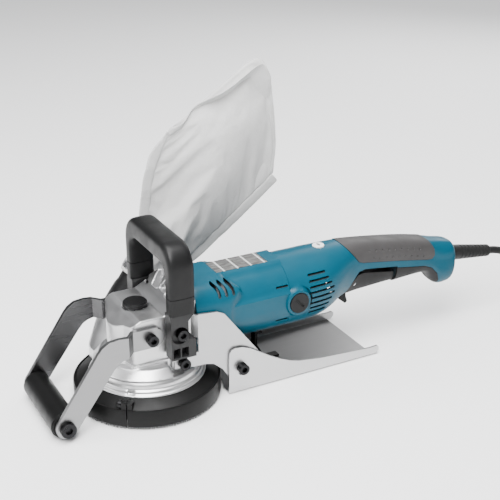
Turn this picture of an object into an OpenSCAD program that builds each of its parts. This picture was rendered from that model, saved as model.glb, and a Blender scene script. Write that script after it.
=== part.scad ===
// Hand-held concrete planer: a cup-wheel surface grinder with dust bag, front
// D-handle, front roller and rear base plate.
// +X runs back along the motor to the rear handle, +Z up. The origin is the
// centre of the base plate's underside, on the work surface. Most shapes are
// drawn with the spindle axis at x = 0 and moved into place by in_place().

/* [Grinding head] */
// Diameter of the diamond cup wheel
wheel_d = 125; // [118:1:126]
// Outside diameter of the dust skirt
skirt_d = 136; // [135.5:0.5:138]
// Height of the skirt's ridge over the work surface
skirt_h = 19.5; // [19:0.1:20]
// Diameter of the spindle's threaded nose
spindle_d = 14; // [13:0.5:14]
// Width of the gear housing across its flat sides
housing_w = 68; // [67:0.1:68]

/* [Motor] */
// Height of the motor axis over the work surface
motor_z = 74.4; // [74:0.1:75]
// Outside diameter of the motor housing
motor_d = 71; // [69:0.5:72]
// Distance from the spindle axis to the housing seam
seam_x = 132; // [131:0.5:133]

/* [Rear handle] */
// Width of the rear handle shells
grip_w = 34; // [33:0.5:35]
// Thickness of the rubber grip skins
rubber_t = 1.6; // [1.2:0.1:1.8]

/* [Front handle] */
// Outside width of the front handle
d_handle_w = 102; // [101:1:104]
// Height of the front handle's top
d_handle_top = 160; // [155:1:163]
// Size of the front handle's legs along the tool
d_handle_x = 24; // [23:0.5:25]

/* [Frame] */
// Diameter of the front roller
roller_d = 25; // [24:0.5:25.5]
// Distance from the spindle axis forward to the roller
roller_x = 93.5; // [92:0.5:95]
// Width of the base plate over its flanges
base_w = 86; // [86:0.5:87]
// Thickness of the base plate
base_t = 2; // [1.8:0.1:2.2]
// Distance the base plate can be raised to set the cutting depth
depth_travel = 4; // [2:0.5:4]

/* [Dust bag] */
// Greatest thickness of the filled bag
bag_t = 44; // [40:1:48]

/* [Cord] */
// Diameter of the power cord
cord_d = 8; // [7.5:0.1:8.5]

/* [Hidden] */
$fn = 72;

// Colours
teal = "#0b7d95";
rubber_grey = "#4a4a4b";
black = "#222223";
cast_silver = "#cfd1d3";
plate_grey = "#b9bbbc";
dark_plate = "#48494a";
steel = "#8f9296";
copper = "#b5652b";
felt = "#d9d9d7";

// Distance from the spindle axis to the centre of the base plate
base_mid_x = 145;
running_gap = 0.05;

// Heights along the spindle
wheel_lift = 0.5;
segment_h = 5.5;
hub_bottom = 15;
hub_top = 19.5;
flange_top = 25;
box_bottom = 37.5;
box_top = 49;
housing_top = 91;
gear_bottom = 55;

// Gear housing
housing_y = housing_w / 2;
collar_x = 35;
collar_r = 37.5;
pinion_bore_r = 13;
front_bearing_r = 16;

// Shaft lock: the pin is offset from the button's centre
lock_x = -11.5;
button_x = -9;
button_r = 11;
lock_travel = 3.5;

// Frame plates and bolts
arm_pivot = [-10.4, 74.6];
lug_bolt = [18.6, 44.6];
handle_bolt = [14.5, 77.5];
slot_bolt = [76, 25.5];
plate_y = 38;
plate_t = 2.4;
tab_bottom = 66;
tab_top = 88;
flange_y = base_w / 2 - base_t;
m6_r = 3;

// Dust outlet: centre of the duct's mouth and lean of the nozzle
outlet = [7, 71.5, 52];
outlet_lean = 35;
nozzle_r = 19.5;

// Rear handle
grip_half = grip_w / 2;
shell_wall = 2.5;
trigger_pivot = [214.8, 68];
lever_pivot = [208, 57.5];
trigger_half = 13.6;

// Motor internals
brush_x = 139.6;
core_x0 = 62;
core_x1 = 112;

// Cord: guard, route of the free stretches and the coil, in the part's frame
guard_start = [190, 0, 70.6];
guard_end = [250, 0, 61];
cord_r = cord_d / 2;
route = [
    [250, 0, 61], [260, 0, 59.4], [269, 0.2, 56.4], [277, 0.7, 51.8], [284, 1.4, 46],
    [290.5, 2.2, 39], [296.5, 3, 31.5], [302.5, 3.6, 24], [309, 4, 17.2], [316.5, 4, 11.4],
    [325.5, 3, 7], [337, 1.1, 4.4], [350, 0, 4]
];
coil_centre = [350, -49.7, 0];
coil_in = 29.2;
coil_out = 53.7;
coil_h = 32.6;
tail_route = [
    [350, -99.4, 28.6], [342, -99.4, 28.5], [334, -100.2, 27.9], [326, -101.6, 25.8],
    [318, -103, 22.6], [310, -104, 19.9], [302, -104.6, 18.4], [294, -104.8, 18], [286, -104.8, 18]
];
plug_entry = [286, -104.8, 18];
plug_r = 17.5;

// Moves a shape drawn about the spindle axis into the part's frame
module in_place() translate([-base_mid_x, 0, 0]) children();

// Draws children on both sides of the tool's middle plane
module both_sides() {
    children();
    mirror([0, 1, 0]) children();
}

// Extrudes an outline given in x and z from y0 to y1
module slab(y0, y1, outline) {
    translate([0, y1, 0]) rotate([90, 0, 0]) linear_extrude(y1 - y0) polygon(outline);
}

module rod_x(r, x0, x1, y = 0, z = motor_z) {
    translate([x0, y, z]) rotate([0, 90, 0]) cylinder(r = r, h = x1 - x0);
}

module rod_y(r, y0, y1, x, z) {
    translate([x, y1, z]) rotate([90, 0, 0]) cylinder(r = r, h = y1 - y0);
}

module rod_z(r, z0, z1, x = 0, y = 0) {
    translate([x, y, z0]) cylinder(r = r, h = z1 - z0);
}

// Ring about the x axis of the motor
module ring_x(r0, r1, x0, x1) {
    difference() {
        rod_x(r1, x0, x1);
        rod_x(r0, x0 - 1, x1 + 1);
    }
}

// Ball bearing drawn as one ring with a groove in each face, from z = 0 to w
module bearing(r0, r1, w) {
    groove_r = (r0 + r1) / 2;
    groove = (r1 - r0) / 5;
    rotate_extrude() difference() {
        translate([r0, 0]) square([r1 - r0, w]);
        translate([groove_r - groove, -0.5]) square([2 * groove, 1]);
        translate([groove_r - groove, w - 0.5]) square([2 * groove, 1]);
    }
}

// Socket cap screw with its seat at z = 0 and its shank down to -len
module cap_screw(r, len, head_r, head_h) {
    difference() {
        cylinder(r = head_r, h = head_h);
        translate([0, 0, head_h / 2]) cylinder(r = head_r * 0.55, h = head_h, $fn = 6);
    }
    translate([0, 0, -len]) cylinder(r = r, h = len);
}

// Cap screw pointing inwards from the near side
module side_screw(at, seat_y, len, head_r = 5.2, head_h = 6) {
    translate([at[0], -seat_y, at[1]]) rotate([90, 0, 0]) cap_screw(m6_r, len, head_r, head_h);
}

function unit(v) = v / norm(v);
function path_dir(p, i) = unit(p[min(i + 1, len(p) - 1)] - p[max(i - 1, 0)]);
function ring_points(c, dir, r, sides) = let (a = unit(cross(dir, [0, 0, 1])), b = cross(a, dir))
    [for (k = [0 : sides - 1]) c + r * (cos(360 * k / sides) * a + sin(360 * k / sides) * b)];

// Round tube along a list of points
module tube_along(p, r, sides) {
    last = len(p) - 1;
    points = [for (i = [0 : last]) each ring_points(p[i], path_dir(p, i), r, sides)];
    start_cap = [[for (k = [0 : sides - 1]) k]];
    end_cap = [[for (k = [sides - 1 : -1 : 0]) last * sides + k]];
    walls = [for (i = [0 : last - 1], k = [0 : sides - 1]) let (n = (k + 1) % sides, a = i * sides)
        each [[a + k, a + sides + k, a + sides + n], [a + k, a + sides + n, a + n]]];
    polyhedron(points, concat(start_cap, end_cap, walls));
}

// Points of a rounded corner: centre, radius, start and end angle
function arc(c, r, a0, a1, steps = 6) =
    [for (i = [0 : steps]) let (a = a0 + (a1 - a0) * i / steps) c + r * [cos(a), sin(a)]];

// Superellipse outline of half sizes a and b
function squircle(a, b, power, steps = 48) = [for (i = [0 : steps - 1])
    let (t = 360 * i / steps, c = cos(t), s = sin(t))
    [sign(c) * a * pow(abs(c), 2 / power), sign(s) * b * pow(abs(s), 2 / power)]];

// ---------------------------------------------------------------- gear head

head_outline = concat(
    [[collar_x, -housing_y], [collar_x, housing_y]],
    arc([-21, housing_y - 6], 6, 90, 150, 3),
    arc([0, 0], 35, 145, 215, 10),
    arc([-21, 6 - housing_y], 6, 210, 270, 3)
);

module gear_housing_solid() {
    intersection() {
        translate([0, 0, box_top]) linear_extrude(70) polygon(head_outline);
        slab(-housing_y - 1, housing_y + 1, [
            [-45, box_top - 1], [-45, 72], [-34, 80], [-22, 89], [-18, housing_top], [4, housing_top],
            [14, 96], [27, 109.5], [collar_x + 1, 111.7], [collar_x + 1, box_top - 1]
        ]);
        translate([-50, 0, 0]) rotate([90, 0, 90]) linear_extrude(100)
            polygon(arch(collar_r, motor_z + collar_r - 1, 23, box_top - 2));
    }
}

// Cooling air windows in the slope behind the gear case
module exhaust_windows() {
    for (a = [-60 : 30 : 60])
        translate([16, 0, motor_z]) rotate([a, 0, 0]) translate([0, -5.5, 24]) cube([13, 11, 30]);
}

module gear_housing() {
    color(cast_silver) in_place() difference() {
        gear_housing_solid();
        rod_z(26, box_top - 1, 71);
        rod_z(7, 70, 78);
        rod_z(6.5, 77, 86);
        rod_z(2.6, 70, 90, lock_x);
        rod_z(button_r + 0.3, housing_top - 4.5, housing_top + 1, button_x);
        rod_x(pinion_bore_r, 0, 27);
        rod_x(front_bearing_r, 27, collar_x + 1);
        difference() {
            rod_x(33, 30.5, collar_x + 1);
            rod_x(front_bearing_r + 2.5, 25, collar_x + 2);
        }
        intersection() {
            exhaust_windows();
            rod_x(45, 16, 32);
        }
        both_sides() {
            rod_y(m6_r, -housing_y - 1, -27, arm_pivot[0], arm_pivot[1]);
            rod_y(m6_r, -housing_y - 1, -27, handle_bolt[0], handle_bolt[1]);
        }
        box_screw_shanks();
        collar_screw_shanks();
        collar_screw_pockets();
    }
}

// Positions of the four screws that hold the bearing box to the gear housing
box_screws = [[-20, 25], [24, 28.5]];

module box_screw_shanks() {
    both_sides() for (p = box_screws) rod_z(2, box_bottom - 1, 58, p[0], p[1]);
}

// Positions, in y and z, of the screws that hold the gear housing to the motor
collar_screws = [[28.5, 93], [28.5, 56]];

module collar_screw_shanks() {
    both_sides() for (p = collar_screws) rod_x(2, 24, 50, p[0], p[1]);
}

module collar_screw_pockets() {
    both_sides() for (p = collar_screws) rod_x(4.2, 14, 25, p[0], p[1]);
}

module bearing_box() {
    color(cast_silver) in_place() difference() {
        union() {
            translate([0, 0, box_bottom]) linear_extrude(box_top - box_bottom) polygon(head_outline);
            rod_z(21, 32, box_bottom + 1);
            both_sides() translate([9, housing_y - 4, 40]) cube([18, 4 + plate_y - housing_y, 8.8]);
            intersection() {
                rotate_extrude() polygon([[30, box_bottom], [50, box_bottom], [42.5, 45.5], [30, 45.5]]);
                translate([-60, -60, 30]) cube([65, 60 + housing_y, 30]);
            }
        }
        rod_z(17.5, 34, box_top + 1);
        rod_z(10.5, 31, 35);
        both_sides() {
            rod_y(m6_r, -plate_y - 1, -27, lug_bolt[0], lug_bolt[1]);
            for (p = box_screws) rod_z(4, box_bottom - 1, box_bottom + 3, p[0], p[1]);
        }
        box_screw_shanks();
        cover_screw_holes();
    }
}

cover_screw_r = 29;

module cover_screw_holes() {
    for (a = [0 : 90 : 270]) rotate(a) rod_z(2, 30, 46, cover_screw_r);
}

// Small socket screws of the gear head and of the skirt's clamp
module head_screws() {
    color(steel) in_place() {
        both_sides() {
            for (p = box_screws)
                translate([p[0], p[1], box_bottom + 3]) mirror([0, 0, 1]) cap_screw(2, 15, 3.9, 2.9);
            for (p = collar_screws)
                translate([25, p[0], p[1]]) rotate([0, -90, 0]) cap_screw(2, 25, 3.8, 4);
        }
        for (a = [0 : 90 : 270])
            rotate(a) translate([cover_screw_r, 0, 34.2]) mirror([0, 0, 1]) cap_screw(2, 9, 3.8, 3);
        skirt_clamp_place() translate([0, 0, 5.1]) cap_screw(2, 10, 3.6, 3);
    }
}

// Aluminium dust cover: outside of the stepped dome, then its hollow
cover_outer = [
    [0, 22.5], [54, 22.5], [54, 25.5], [51.5, 26.5], [51.5, 28.5], [49.5, 29.5], [49, 33],
    [47.5, 35.5], [43, 37], [36, 37.4], [0, 37.4]
];
cover_inner = [
    [0, 22], [49.5, 22], [48, 27], [46.5, 31.5], [43, 33.8], [36, 34.2], [0, 34.2]
];

module duct_hull(shrink) {
    hull() {
        translate([-13, 43, 22 + shrink / 2]) cylinder(r = 26 - shrink, h = 12 - shrink, $fn = 32);
        translate([-8, 61, 28]) cylinder(r = 17.5 - shrink, h = 19 - shrink, $fn = 32);
        translate(outlet) rotate([0, outlet_lean, 0]) translate([0, 0, -12 + shrink])
            cylinder(r = 20.5 - shrink, h = 12 + (shrink > 0 ? 3 : 0), $fn = 32);
    }
}

module dust_cover() {
    color(cast_silver) in_place() difference() {
        union() {
            rotate_extrude() polygon(cover_outer);
            duct_hull(0);
        }
        rotate_extrude() polygon(cover_inner);
        duct_hull(2.6);
        translate([-60, -60, box_bottom - 0.1]) cube([120, 60 + housing_y + 0.2, 40]);
        translate([8.7, 0, box_bottom - 0.1]) cube([30, plate_y + 0.2, 40]);
        translate([8.7, 0, 39.2]) cube([4, plate_y + plate_t + 0.4, 10]);
        rod_z(21.1, 30, 41);
        rod_z(64, 15, 22.6);
        for (a = [0 : 90 : 270]) rotate(a) rod_z(2.1, 30, 46, cover_screw_r);
        rotate(231) translate([50, -3.5, 25.6]) cube([6, 7, 8]);
    }
}

// Rubber skirt, split at its clamp
clamp_angle = 231.5;

module skirt_clamp_place() {
    rotate(clamp_angle) translate([63.5, 0, 23]) rotate([90, 0, 0]) children();
}

module dust_skirt() {
    r = skirt_d / 2;
    color(black) in_place() difference() {
        union() {
            rotate_extrude() polygon([
                [49.7, 20.4], [54.2, 20.4], [62, 18.4], [r - 4.2, 16], [r - 4.2, 9.2],
                [r - 0.8, 9.2], [r - 0.8, 3.2], [r, 3.2], [r, skirt_h - 1.2],
                [r - 0.6, skirt_h], [r - 1.6, skirt_h], [r - 2.2, skirt_h - 0.6], [62, 21.4],
                [54.2, 24.6], [54.2, 22.4], [49.7, 22.4]
            ]);
            skirt_clamp_place() translate([-3.5, -5.5, -5]) cube([7, 8, 10]);
        }
        rotate(clamp_angle) translate([55, -0.5, 0]) cube([20, 1, 40]);
        skirt_clamp_place() translate([0, 0, -6]) cylinder(r = 2, h = 12);
        skirt_clamp_place() translate([0, 0, 5.05]) cylinder(r = 4, h = 6);
        duct_hull(-0.1);
    }
}

module skirt_brush() {
    r = skirt_d / 2;
    color("#5a5a5a") in_place() rotate_extrude() translate([r - 3.6, 0]) square([2.7, 9.1]);
}

module outlet_place() translate(outlet) rotate([0, outlet_lean, 0]) children();

// Black plastic nozzle, drawn along its own axis from the duct's mouth
module dust_nozzle() {
    color(black) in_place() outlet_place() difference() {
        rotate_extrude() polygon([
            [0, 0.05], [20.9, 0.05], [20.9, 6], [20.6, 18], [nozzle_r, 24], [nozzle_r, 46], [0, 46]
        ]);
        translate([0, 0, -1]) cylinder(r = 17, h = 50);
    }
}

module bag_clamp() {
    color(steel) in_place() outlet_place() difference() {
        translate([0, 0, 37]) cylinder(r = nozzle_r + 3.4, h = 6);
        translate([0, 0, 30]) cylinder(r = nozzle_r + 2.6, h = 20);
    }
}

// Outline of the bag in x and z, from the neck forward and round
bag_outline = [
    [20, 92], [26, 120], [34, 146], [40, 178], [48, 201], [60, 223], [82, 231], [104, 247],
    [135, 270], [151, 279], [158, 277], [166, 258], [171, 228], [174, 192], [173, 165],
    [165, 157], [146, 139], [112, 113], [86, 91], [60, 72], [44, 72], [30, 80]
];
bag_mid = [100, 170];

function shrunk(pts, c, k) = [for (p = pts) c + k * (p - c)];

module dust_bag() {
    color(felt) in_place() difference() {
        union() {
            slab(63, 79, bag_outline);
            slab(71.5 - bag_t / 2 + 4, 71.5 + bag_t / 2 - 4, shrunk(bag_outline, bag_mid, 0.93));
            slab(71.5 - bag_t / 2 + 0.5, 71.5 + bag_t / 2 + 4, shrunk(bag_outline, bag_mid, 0.78));
            outlet_place() translate([0, 0, 34]) cylinder(r = nozzle_r + 2.4, h = 16);
        }
        outlet_place() translate([0, 0, 20]) cylinder(r = nozzle_r + running_gap, h = 26.2);
        outlet_place() translate([0, 0, 36]) difference() {
            cylinder(r = 40, h = 8);
            translate([0, 0, -1]) cylinder(r = nozzle_r + 2.4, h = 10);
        }
        outlet_place() translate([-40, -40, 0]) cube([80, 80, 34]);
    }
}

// ------------------------------------------------------------- front handle

// Outline across the tool: half width w, top h, corner radius r, down to z0
function arch(w, h, r, z0) = concat(
    [[w, z0]], arc([w - r, h - r], r, 0, 90, 8), arc([r - w, h - r], r, 90, 180, 8), [[-w, z0]]
);

leg_bottom = 97;
leg_x0 = 3.5;

module front_handle() {
    color(black) in_place() translate([leg_x0, 0, 0]) rotate([90, 0, 90]) linear_extrude(d_handle_x)
        difference() {
            polygon(arch(d_handle_w / 2, d_handle_top, 26, leg_bottom));
            polygon(arch(d_handle_w / 2 - 12.5, d_handle_top - 19, 15, leg_bottom - 1));
        }
}

module handle_bracket() {
    y1 = -(d_handle_w / 2 - 1);
    color(dark_plate) in_place() difference() {
        union() {
            slab(y1, -37, [
                [3.7, 54], [27.5, 54], [27.5, 71], [20.5, 73], [20.5, 90], [26.5, leg_bottom - 0.1],
                [3.7, leg_bottom - 0.1]
            ]);
        }
        for (x = [5.5, 13.5]) translate([x, y1 - 1, 56]) cube([6.5, 9, 9]);
        rod_y(8, y1 - 1, y1 + 4, 12.2, handle_bolt[1]);
        rod_y(m6_r + 0.2, -60, -30, handle_bolt[0], handle_bolt[1]);
    }
}

module handle_bracket_near() handle_bracket();
module handle_bracket_far() mirror([0, 1, 0]) handle_bracket();

// -------------------------------------------------------------- side frame

side_outline = [
    [10, 39.9], [22, 39.4], [28, 37.6], [41, 37], [49, 35], [58, 27], [65, 15.5], [74, 13], [84, 19],
    [95, 37],
    [60, 83.5], [53, 87], [34, 88.8], [34, 51.5], [10, 51.5]
];

module side_plate() {
    color(plate_grey) in_place() difference() {
        union() {
            slab(-plate_y - plate_t, -plate_y, side_outline);
            translate([0, 0, tab_bottom]) linear_extrude(tab_top - tab_bottom) polygon([
                [34, -plate_y - plate_t], [28.4, -36.6], [6, -36.6], [6, -housing_y - 0.1],
                [29.4, -housing_y - 0.1], [34.9, -plate_y], [34.9, -plate_y - plate_t]
            ]);
        }
        rod_y(m6_r + 0.2, -60, -30, handle_bolt[0], handle_bolt[1]);
        rod_y(m6_r + 0.2, -60, -30, lug_bolt[0], lug_bolt[1]);
        rod_y(m6_r, -60, -30, slot_bolt[0], slot_bolt[1]);
    }
}

module side_plate_near() side_plate();
module side_plate_far() mirror([0, 1, 0]) side_plate();

// Socket bolts of the front handle, side plates, roller arms and base plate
module frame_bolts() {
    color(black) in_place() both_sides() {
        side_screw(handle_bolt, d_handle_w / 2 - 5, 19);
        side_screw(lug_bolt, plate_y + plate_t, 8);
        side_screw(arm_pivot, plate_y + 0.6, 11);
        side_screw(slot_bolt, base_w / 2 + 0.1, 8);
    }
}

// ------------------------------------------------------------ roller frame

arm_in = 42;
arm_out = 46;
roller_z = roller_d / 2;

arm_outline = concat(
    [[-34, 84.8], [-42.5, 85.6], [-51.6, 84.6], [-58.1, 80.5], [-62, 75.8]],
    arc([-roller_x, roller_z], 9.8, 147, 327, 12),
    [[-49.6, 55.9], [-44.7, 61.5], [-40, 64.2], [-34, 65.6]]
);

module roller_arm() {
    mount_in = plate_y - 3.8;
    mount_out = plate_y + 0.3;
    color(plate_grey) in_place() difference() {
        union() {
            slab(-arm_out, -arm_in, arm_outline);
            translate([0, 0, 65.6]) linear_extrude(19) polygon([
                [-34, -arm_out], [-27, -mount_out], [-4, -mount_out], [-4, -mount_in],
                [-28, -mount_in], [-34.4, -arm_in]
            ]);
            slab(-mount_out, -mount_in, concat(
                [[-27, 84.6], [-27, 65.6]], arc([-7, 74.6], 9, -90, 90, 10)));
        }
        rod_y(m6_r + running_gap, -60, -30, arm_pivot[0], arm_pivot[1]);
        rod_y(4, -60, -30, -roller_x, roller_z);
    }
}

module roller_arm_near() roller_arm();
module roller_arm_far() mirror([0, 1, 0]) roller_arm();

module roller_axle() {
    color(black) in_place() {
        rod_y(4, -arm_out, arm_out, -roller_x, roller_z);
        both_sides() difference() {
            rod_y(7, -arm_out - 4.5, -arm_out, -roller_x, roller_z);
            translate([-roller_x, -arm_out - 2, roller_z]) rotate([90, 0, 0])
                cylinder(r = 3.4, h = 4, $fn = 6);
        }
    }
}

module front_roller() {
    half = arm_in - 0.6;
    color(black) in_place() difference() {
        union() {
            rod_y(roller_d / 2, 2 - half, half - 2, -roller_x, roller_z);
            rod_y(roller_d / 2 - 1, -half, half, -roller_x, roller_z);
        }
        rod_y(4 + running_gap, -50, 50, -roller_x, roller_z);
    }
}

// -------------------------------------------------------------- base plate

base_x0 = 63;
base_x1 = 221;
flange_x1 = 229;

flange_outline = [
    [base_x0, 1.2], [base_x0, 36], [63.6, 42.5], [65.5, 45.5], [69, 47], [77, 46.5], [85, 43.2],
    [94, 37.3], [105.6, 30], [116.4, 24], [127, 19.3], [138.3, 16], [160.7, 12.8], [195, 10.3],
    [218.5, 9], [227, 9.5], [flange_x1, 7.5], [flange_x1, 4.5], [226, 1.2]
];

module base_plate() {
    travel = depth_travel + 0.6;
    slot_r = m6_r + 0.3;
    color(plate_grey) in_place() difference() {
        union() {
            translate([base_x0, -base_w / 2 + 1.2, 0]) cube([base_x1 - base_x0, base_w - 2.4, base_t]);
            both_sides() slab(-base_w / 2, -flange_y, flange_outline);
        }
        rod_z(skirt_d / 2 + 2, -1, 60);
        both_sides() {
            rod_y(slot_r, -60, -30, slot_bolt[0], slot_bolt[1]);
            rod_y(slot_r, -60, -30, slot_bolt[0], slot_bolt[1] - travel);
            translate([slot_bolt[0] - slot_r, -60, slot_bolt[1] - travel]) cube([2 * slot_r, 30, travel]);
        }
    }
}

module base_stay() {
    color(black) in_place() slab(-4, 4, [
        [110.5, 34], [110.5, 19], [118.5, 6], [124, base_t], [138, base_t], [138, base_t + 2],
        [125.5, base_t + 2], [121, 7.5], [113.5, 20], [113.5, 32], [119, 32], [119, 34]
    ]);
}

// ------------------------------------------------------------------- motor

module motor_solid(shrink) {
    translate([collar_x + 0.1, 0, motor_z]) rotate([90, 0, 90]) linear_extrude(40)
        polygon(squircle(collar_r - shrink, collar_r - 1.1 - shrink, 3.2));
    rod_x(motor_d / 2 - shrink, 70, seam_x);
    intersection() {
        translate([70, -16, motor_z]) cube([seam_x - 70, 32, motor_d / 2 + 1 - shrink]);
        rod_x(motor_d / 2 + 1.5 - shrink, 70, seam_x);
    }
}

module vent_slot(at, len, tilt, w = 1.6) {
    translate([at[0], -50, at[1]]) rotate([0, tilt, 0]) translate([-len / 2, 0, -w / 2]) cube([len, 40, w]);
}

module motor_housing() {
    wall = 2.8;
    color(teal) in_place() difference() {
        union() {
            motor_solid(0);
            both_sides() rod_y(12.6, -37.8, -30, brush_x, motor_z);
        }
        intersection() {
            translate([collar_x + wall, -60, 0]) cube([seam_x - collar_x, 120, 150]);
            motor_solid(wall);
        }
        rod_x(32.6, collar_x, seam_x - 4);
        rod_x(31.4, core_x0, seam_x + 1);
        both_sides() {
            rod_y(10, -40, -36, brush_x, motor_z);
            rod_y(7.2, -40, -25, brush_x, motor_z);
            for (i = [0 : 2]) vent_slot([56 + 7 * i, 105.5], 13, 75, 2.4);
            for (z = [91.5, 58]) vent_slot([124.5, z], 12, 0, 1.8);
        }
        collar_screw_shanks();
        translate([66.5, -12.2, motor_z + motor_d / 2 + 0.2]) cube([53, 24.4, 3]);
    }
}

module rating_label() {
    color("#8d8f91") in_place() translate([66.6, -12, motor_z + motor_d / 2 + 0.25]) cube([52.8, 24, 0.7]);
}

module brush_holders() {
    color("#b08d3f") in_place() both_sides() difference() {
        rod_y(7, -34, -14.5, brush_x, motor_z);
        translate([brush_x - 3.3, -40, motor_z - 4.8]) cube([6.6, 60, 9.6]);
    }
}

module carbon_brushes() {
    color("#333333") in_place() both_sides()
        translate([brush_x - 3.2, -30, motor_z - 4.7]) cube([6.4, 16.9, 9.4]);
}

module brush_caps() {
    color(black) in_place() both_sides() difference() {
        union() {
            rod_y(9.9, -39, -36.05, brush_x, motor_z);
            rod_y(7, -36.1, -34.05, brush_x, motor_z);
        }
        translate([brush_x, -39, motor_z]) rotate([0, 45, 0]) translate([-6, -0.5, -0.9]) cube([12, 1.6, 1.8]);
    }
}

module field_core() {
    color(steel) in_place() difference() {
        ring_x(18.3, 31.3, core_x0, core_x1);
        both_sides() translate([core_x0 - 1, 17, motor_z - 9]) cube([60, 9, 18]);
    }
}

module field_coils() {
    color(copper) in_place() both_sides() difference() {
        intersection() {
            ring_x(20, 28.5, core_x0 - 7, core_x1 + 6);
            translate([0, 17.4, motor_z - 16]) cube([200, 20, 32]);
        }
        difference() {
            translate([core_x0 - 0.1, 0, 0]) cube([core_x1 - core_x0 + 0.2, 60, 150]);
            translate([core_x0 - 1, 17.1, motor_z - 8.9]) cube([60, 8.8, 17.8]);
        }
    }
}

module bearing_x(r0, r1, x0, x1) {
    translate([x0, 0, motor_z]) rotate([0, 90, 0]) bearing(r0, r1, x1 - x0);
}

module armature_bearings() {
    color(steel) in_place() {
        bearing_x(6 + running_gap, front_bearing_r, 27.05, 36);
        bearing_x(4 + running_gap, 11, 160, 167);
    }
}

module spindle_bearings() {
    color(steel) in_place() {
        translate([0, 0, 34.05]) bearing(7.5 + running_gap, 17.5, 11);
        translate([0, 0, 77.5]) bearing(4 + running_gap, 6.5, 8);
    }
}

// ---------------------------------------------------------------- armature

module armature_shaft() {
    color(steel) in_place() {
        rod_x(4.5, 13, 26);
        rod_x(6, 26, 38);
        rod_x(6.5, 38, 158);
        rod_x(4, 158, 168);
    }
}

pinion_teeth = 12;
gear_teeth = 36;

// Teeth are cut as straight grooves along the cone
module bevel_pinion() {
    color(steel) in_place() difference() {
        translate([14, 0, motor_z]) rotate([0, 90, 0]) cylinder(r1 = 4.6, r2 = 7.9, h = 10);
        rod_x(4.5, 10, 30);
        for (i = [0 : pinion_teeth - 1])
            translate([14, 0, motor_z]) rotate([360 * i / pinion_teeth, 0, 0]) rotate([0, -18.3, 0])
                translate([-1, -0.45, 4.2]) cube([14, 0.9, 3]);
    }
}

module bevel_gear() {
    color(steel) in_place() difference() {
        rotate_extrude() polygon([
            [7.5, gear_bottom], [13, gear_bottom], [24, 60.5], [24.6, 64.8], [24, 65.6],
            [15.5, 68.3], [14.9, 66.5], [14.2, 64.5], [7.5, 64.5]
        ]);
        for (i = [0 : gear_teeth - 1]) rotate(360 * i / gear_teeth)
            translate([0, 0, motor_z]) rotate([0, 17.6, 0]) translate([15, -0.5, -1.9]) cube([13, 1, 3]);
        for (a = [0 : 90 : 270]) rotate(a) rod_z(3, gear_bottom + 4, 80, lock_x);
    }
}

module armature_core() {
    slots = 12;
    color(steel) in_place() difference() {
        ring_x(6.5, 17.5, core_x0, core_x1);
        for (i = [0 : slots - 1])
            translate([core_x0 - 1, 0, motor_z]) rotate([360 * i / slots, 0, 0]) translate([0, -1, 12])
                cube([60, 2, 7]);
    }
}

module armature_windings() {
    color(copper) in_place() {
        ring_x(6.5, 15.5, core_x0 - 7, core_x0);
        ring_x(6.5, 15.5, core_x1, core_x1 + 10);
    }
}

module commutator() {
    bars = 24;
    color(copper) in_place() difference() {
        ring_x(6.5, 13, 129, 150);
        for (i = [0 : bars - 1])
            translate([132, 0, motor_z]) rotate([360 * i / bars, 0, 0]) translate([0, -0.3, 12.2])
                cube([19, 0.6, 2]);
    }
}

module cooling_fan() {
    blades = 14;
    color("#30383c") in_place() {
        ring_x(6.5, 11, 40, 53);
        ring_x(11, 29, 50, 52);
        for (i = [0 : blades - 1])
            translate([41, 0, motor_z]) rotate([360 * i / blades, 0, 0]) translate([0, -0.7, 10.8])
                cube([9.1, 1.4, 18]);
    }
}

// ----------------------------------------------------- spindle and cup wheel

module spindle() {
    color(steel) in_place() difference() {
        union() {
            rod_z(spindle_d / 2, 9, flange_top);
            rod_z(9.8, flange_top, 33.8);
            rod_z(7.5, 33.8, 70);
            rod_z(4, 70, 85);
        }
        translate([0, 0, 8]) cylinder(r = 3, h = 4, $fn = 6);
    }
}

module inner_flange() {
    color(steel) in_place() rotate_extrude() polygon([
        [spindle_d / 2, hub_top - 1.5], [11, hub_top - 1.5], [11, hub_top], [20, hub_top],
        [20, hub_top + 3], [13, flange_top], [spindle_d / 2, flange_top]
    ]);
}

module cup_wheel() {
    r = wheel_d / 2;
    color("#4b5a6b") in_place() difference() {
        rotate_extrude() polygon([
            [11.05, hub_bottom], [28, hub_bottom], [44, 8.8], [r - 11, wheel_lift + segment_h],
            [r - 0.4, wheel_lift + segment_h], [r - 0.4, 8.6], [r - 3, 11], [46, 14.5],
            [33, hub_top], [11.05, hub_top]
        ]);
        for (a = [0 : 45 : 315]) rotate(a) rod_z(3.2, 5, 20, 41);
    }
}

module diamond_segments() {
    r = wheel_d / 2;
    color("#6d6f72") in_place() difference() {
        rotate_extrude() translate([r - 9, wheel_lift]) square([9, segment_h]);
        for (a = [0 : 20 : 340]) rotate(a) translate([40, -2, -1]) cube([30, 4, 10]);
    }
}

module lock_nut() {
    color(steel) in_place() difference() {
        union() {
            rod_z(18, 9.5, hub_bottom);
            rod_z(11, hub_bottom, hub_top - 1.6);
        }
        rod_z(spindle_d / 2, 9, 20);
        for (a = [0, 180]) rotate(a) rod_z(2, 9, 13, 14);
    }
}

// -------------------------------------------------------------- shaft lock

module shaft_lock_button() {
    color(black) in_place() {
        rod_z(button_r, housing_top, housing_top + 3.2, button_x);
        rod_z(button_r - 1, housing_top + 3.2, housing_top + 4.2, button_x);
        rod_z(2.5, 67, housing_top, lock_x);
    }
}

module shaft_lock_spring() {
    turns = 2.5;
    steps = 30;
    bottom = housing_top - 3.9;
    rise = 3.1;
    color(steel) in_place() tube_along([for (i = [0 : steps])
        let (a = 360 * turns * i / steps, x = lock_x + 4 * cos(a), y = 4 * sin(a))
        [x, y, bottom + rise * i / steps]], 0.4, 6);
}

// ------------------------------------------------------------- rear handle

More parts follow.
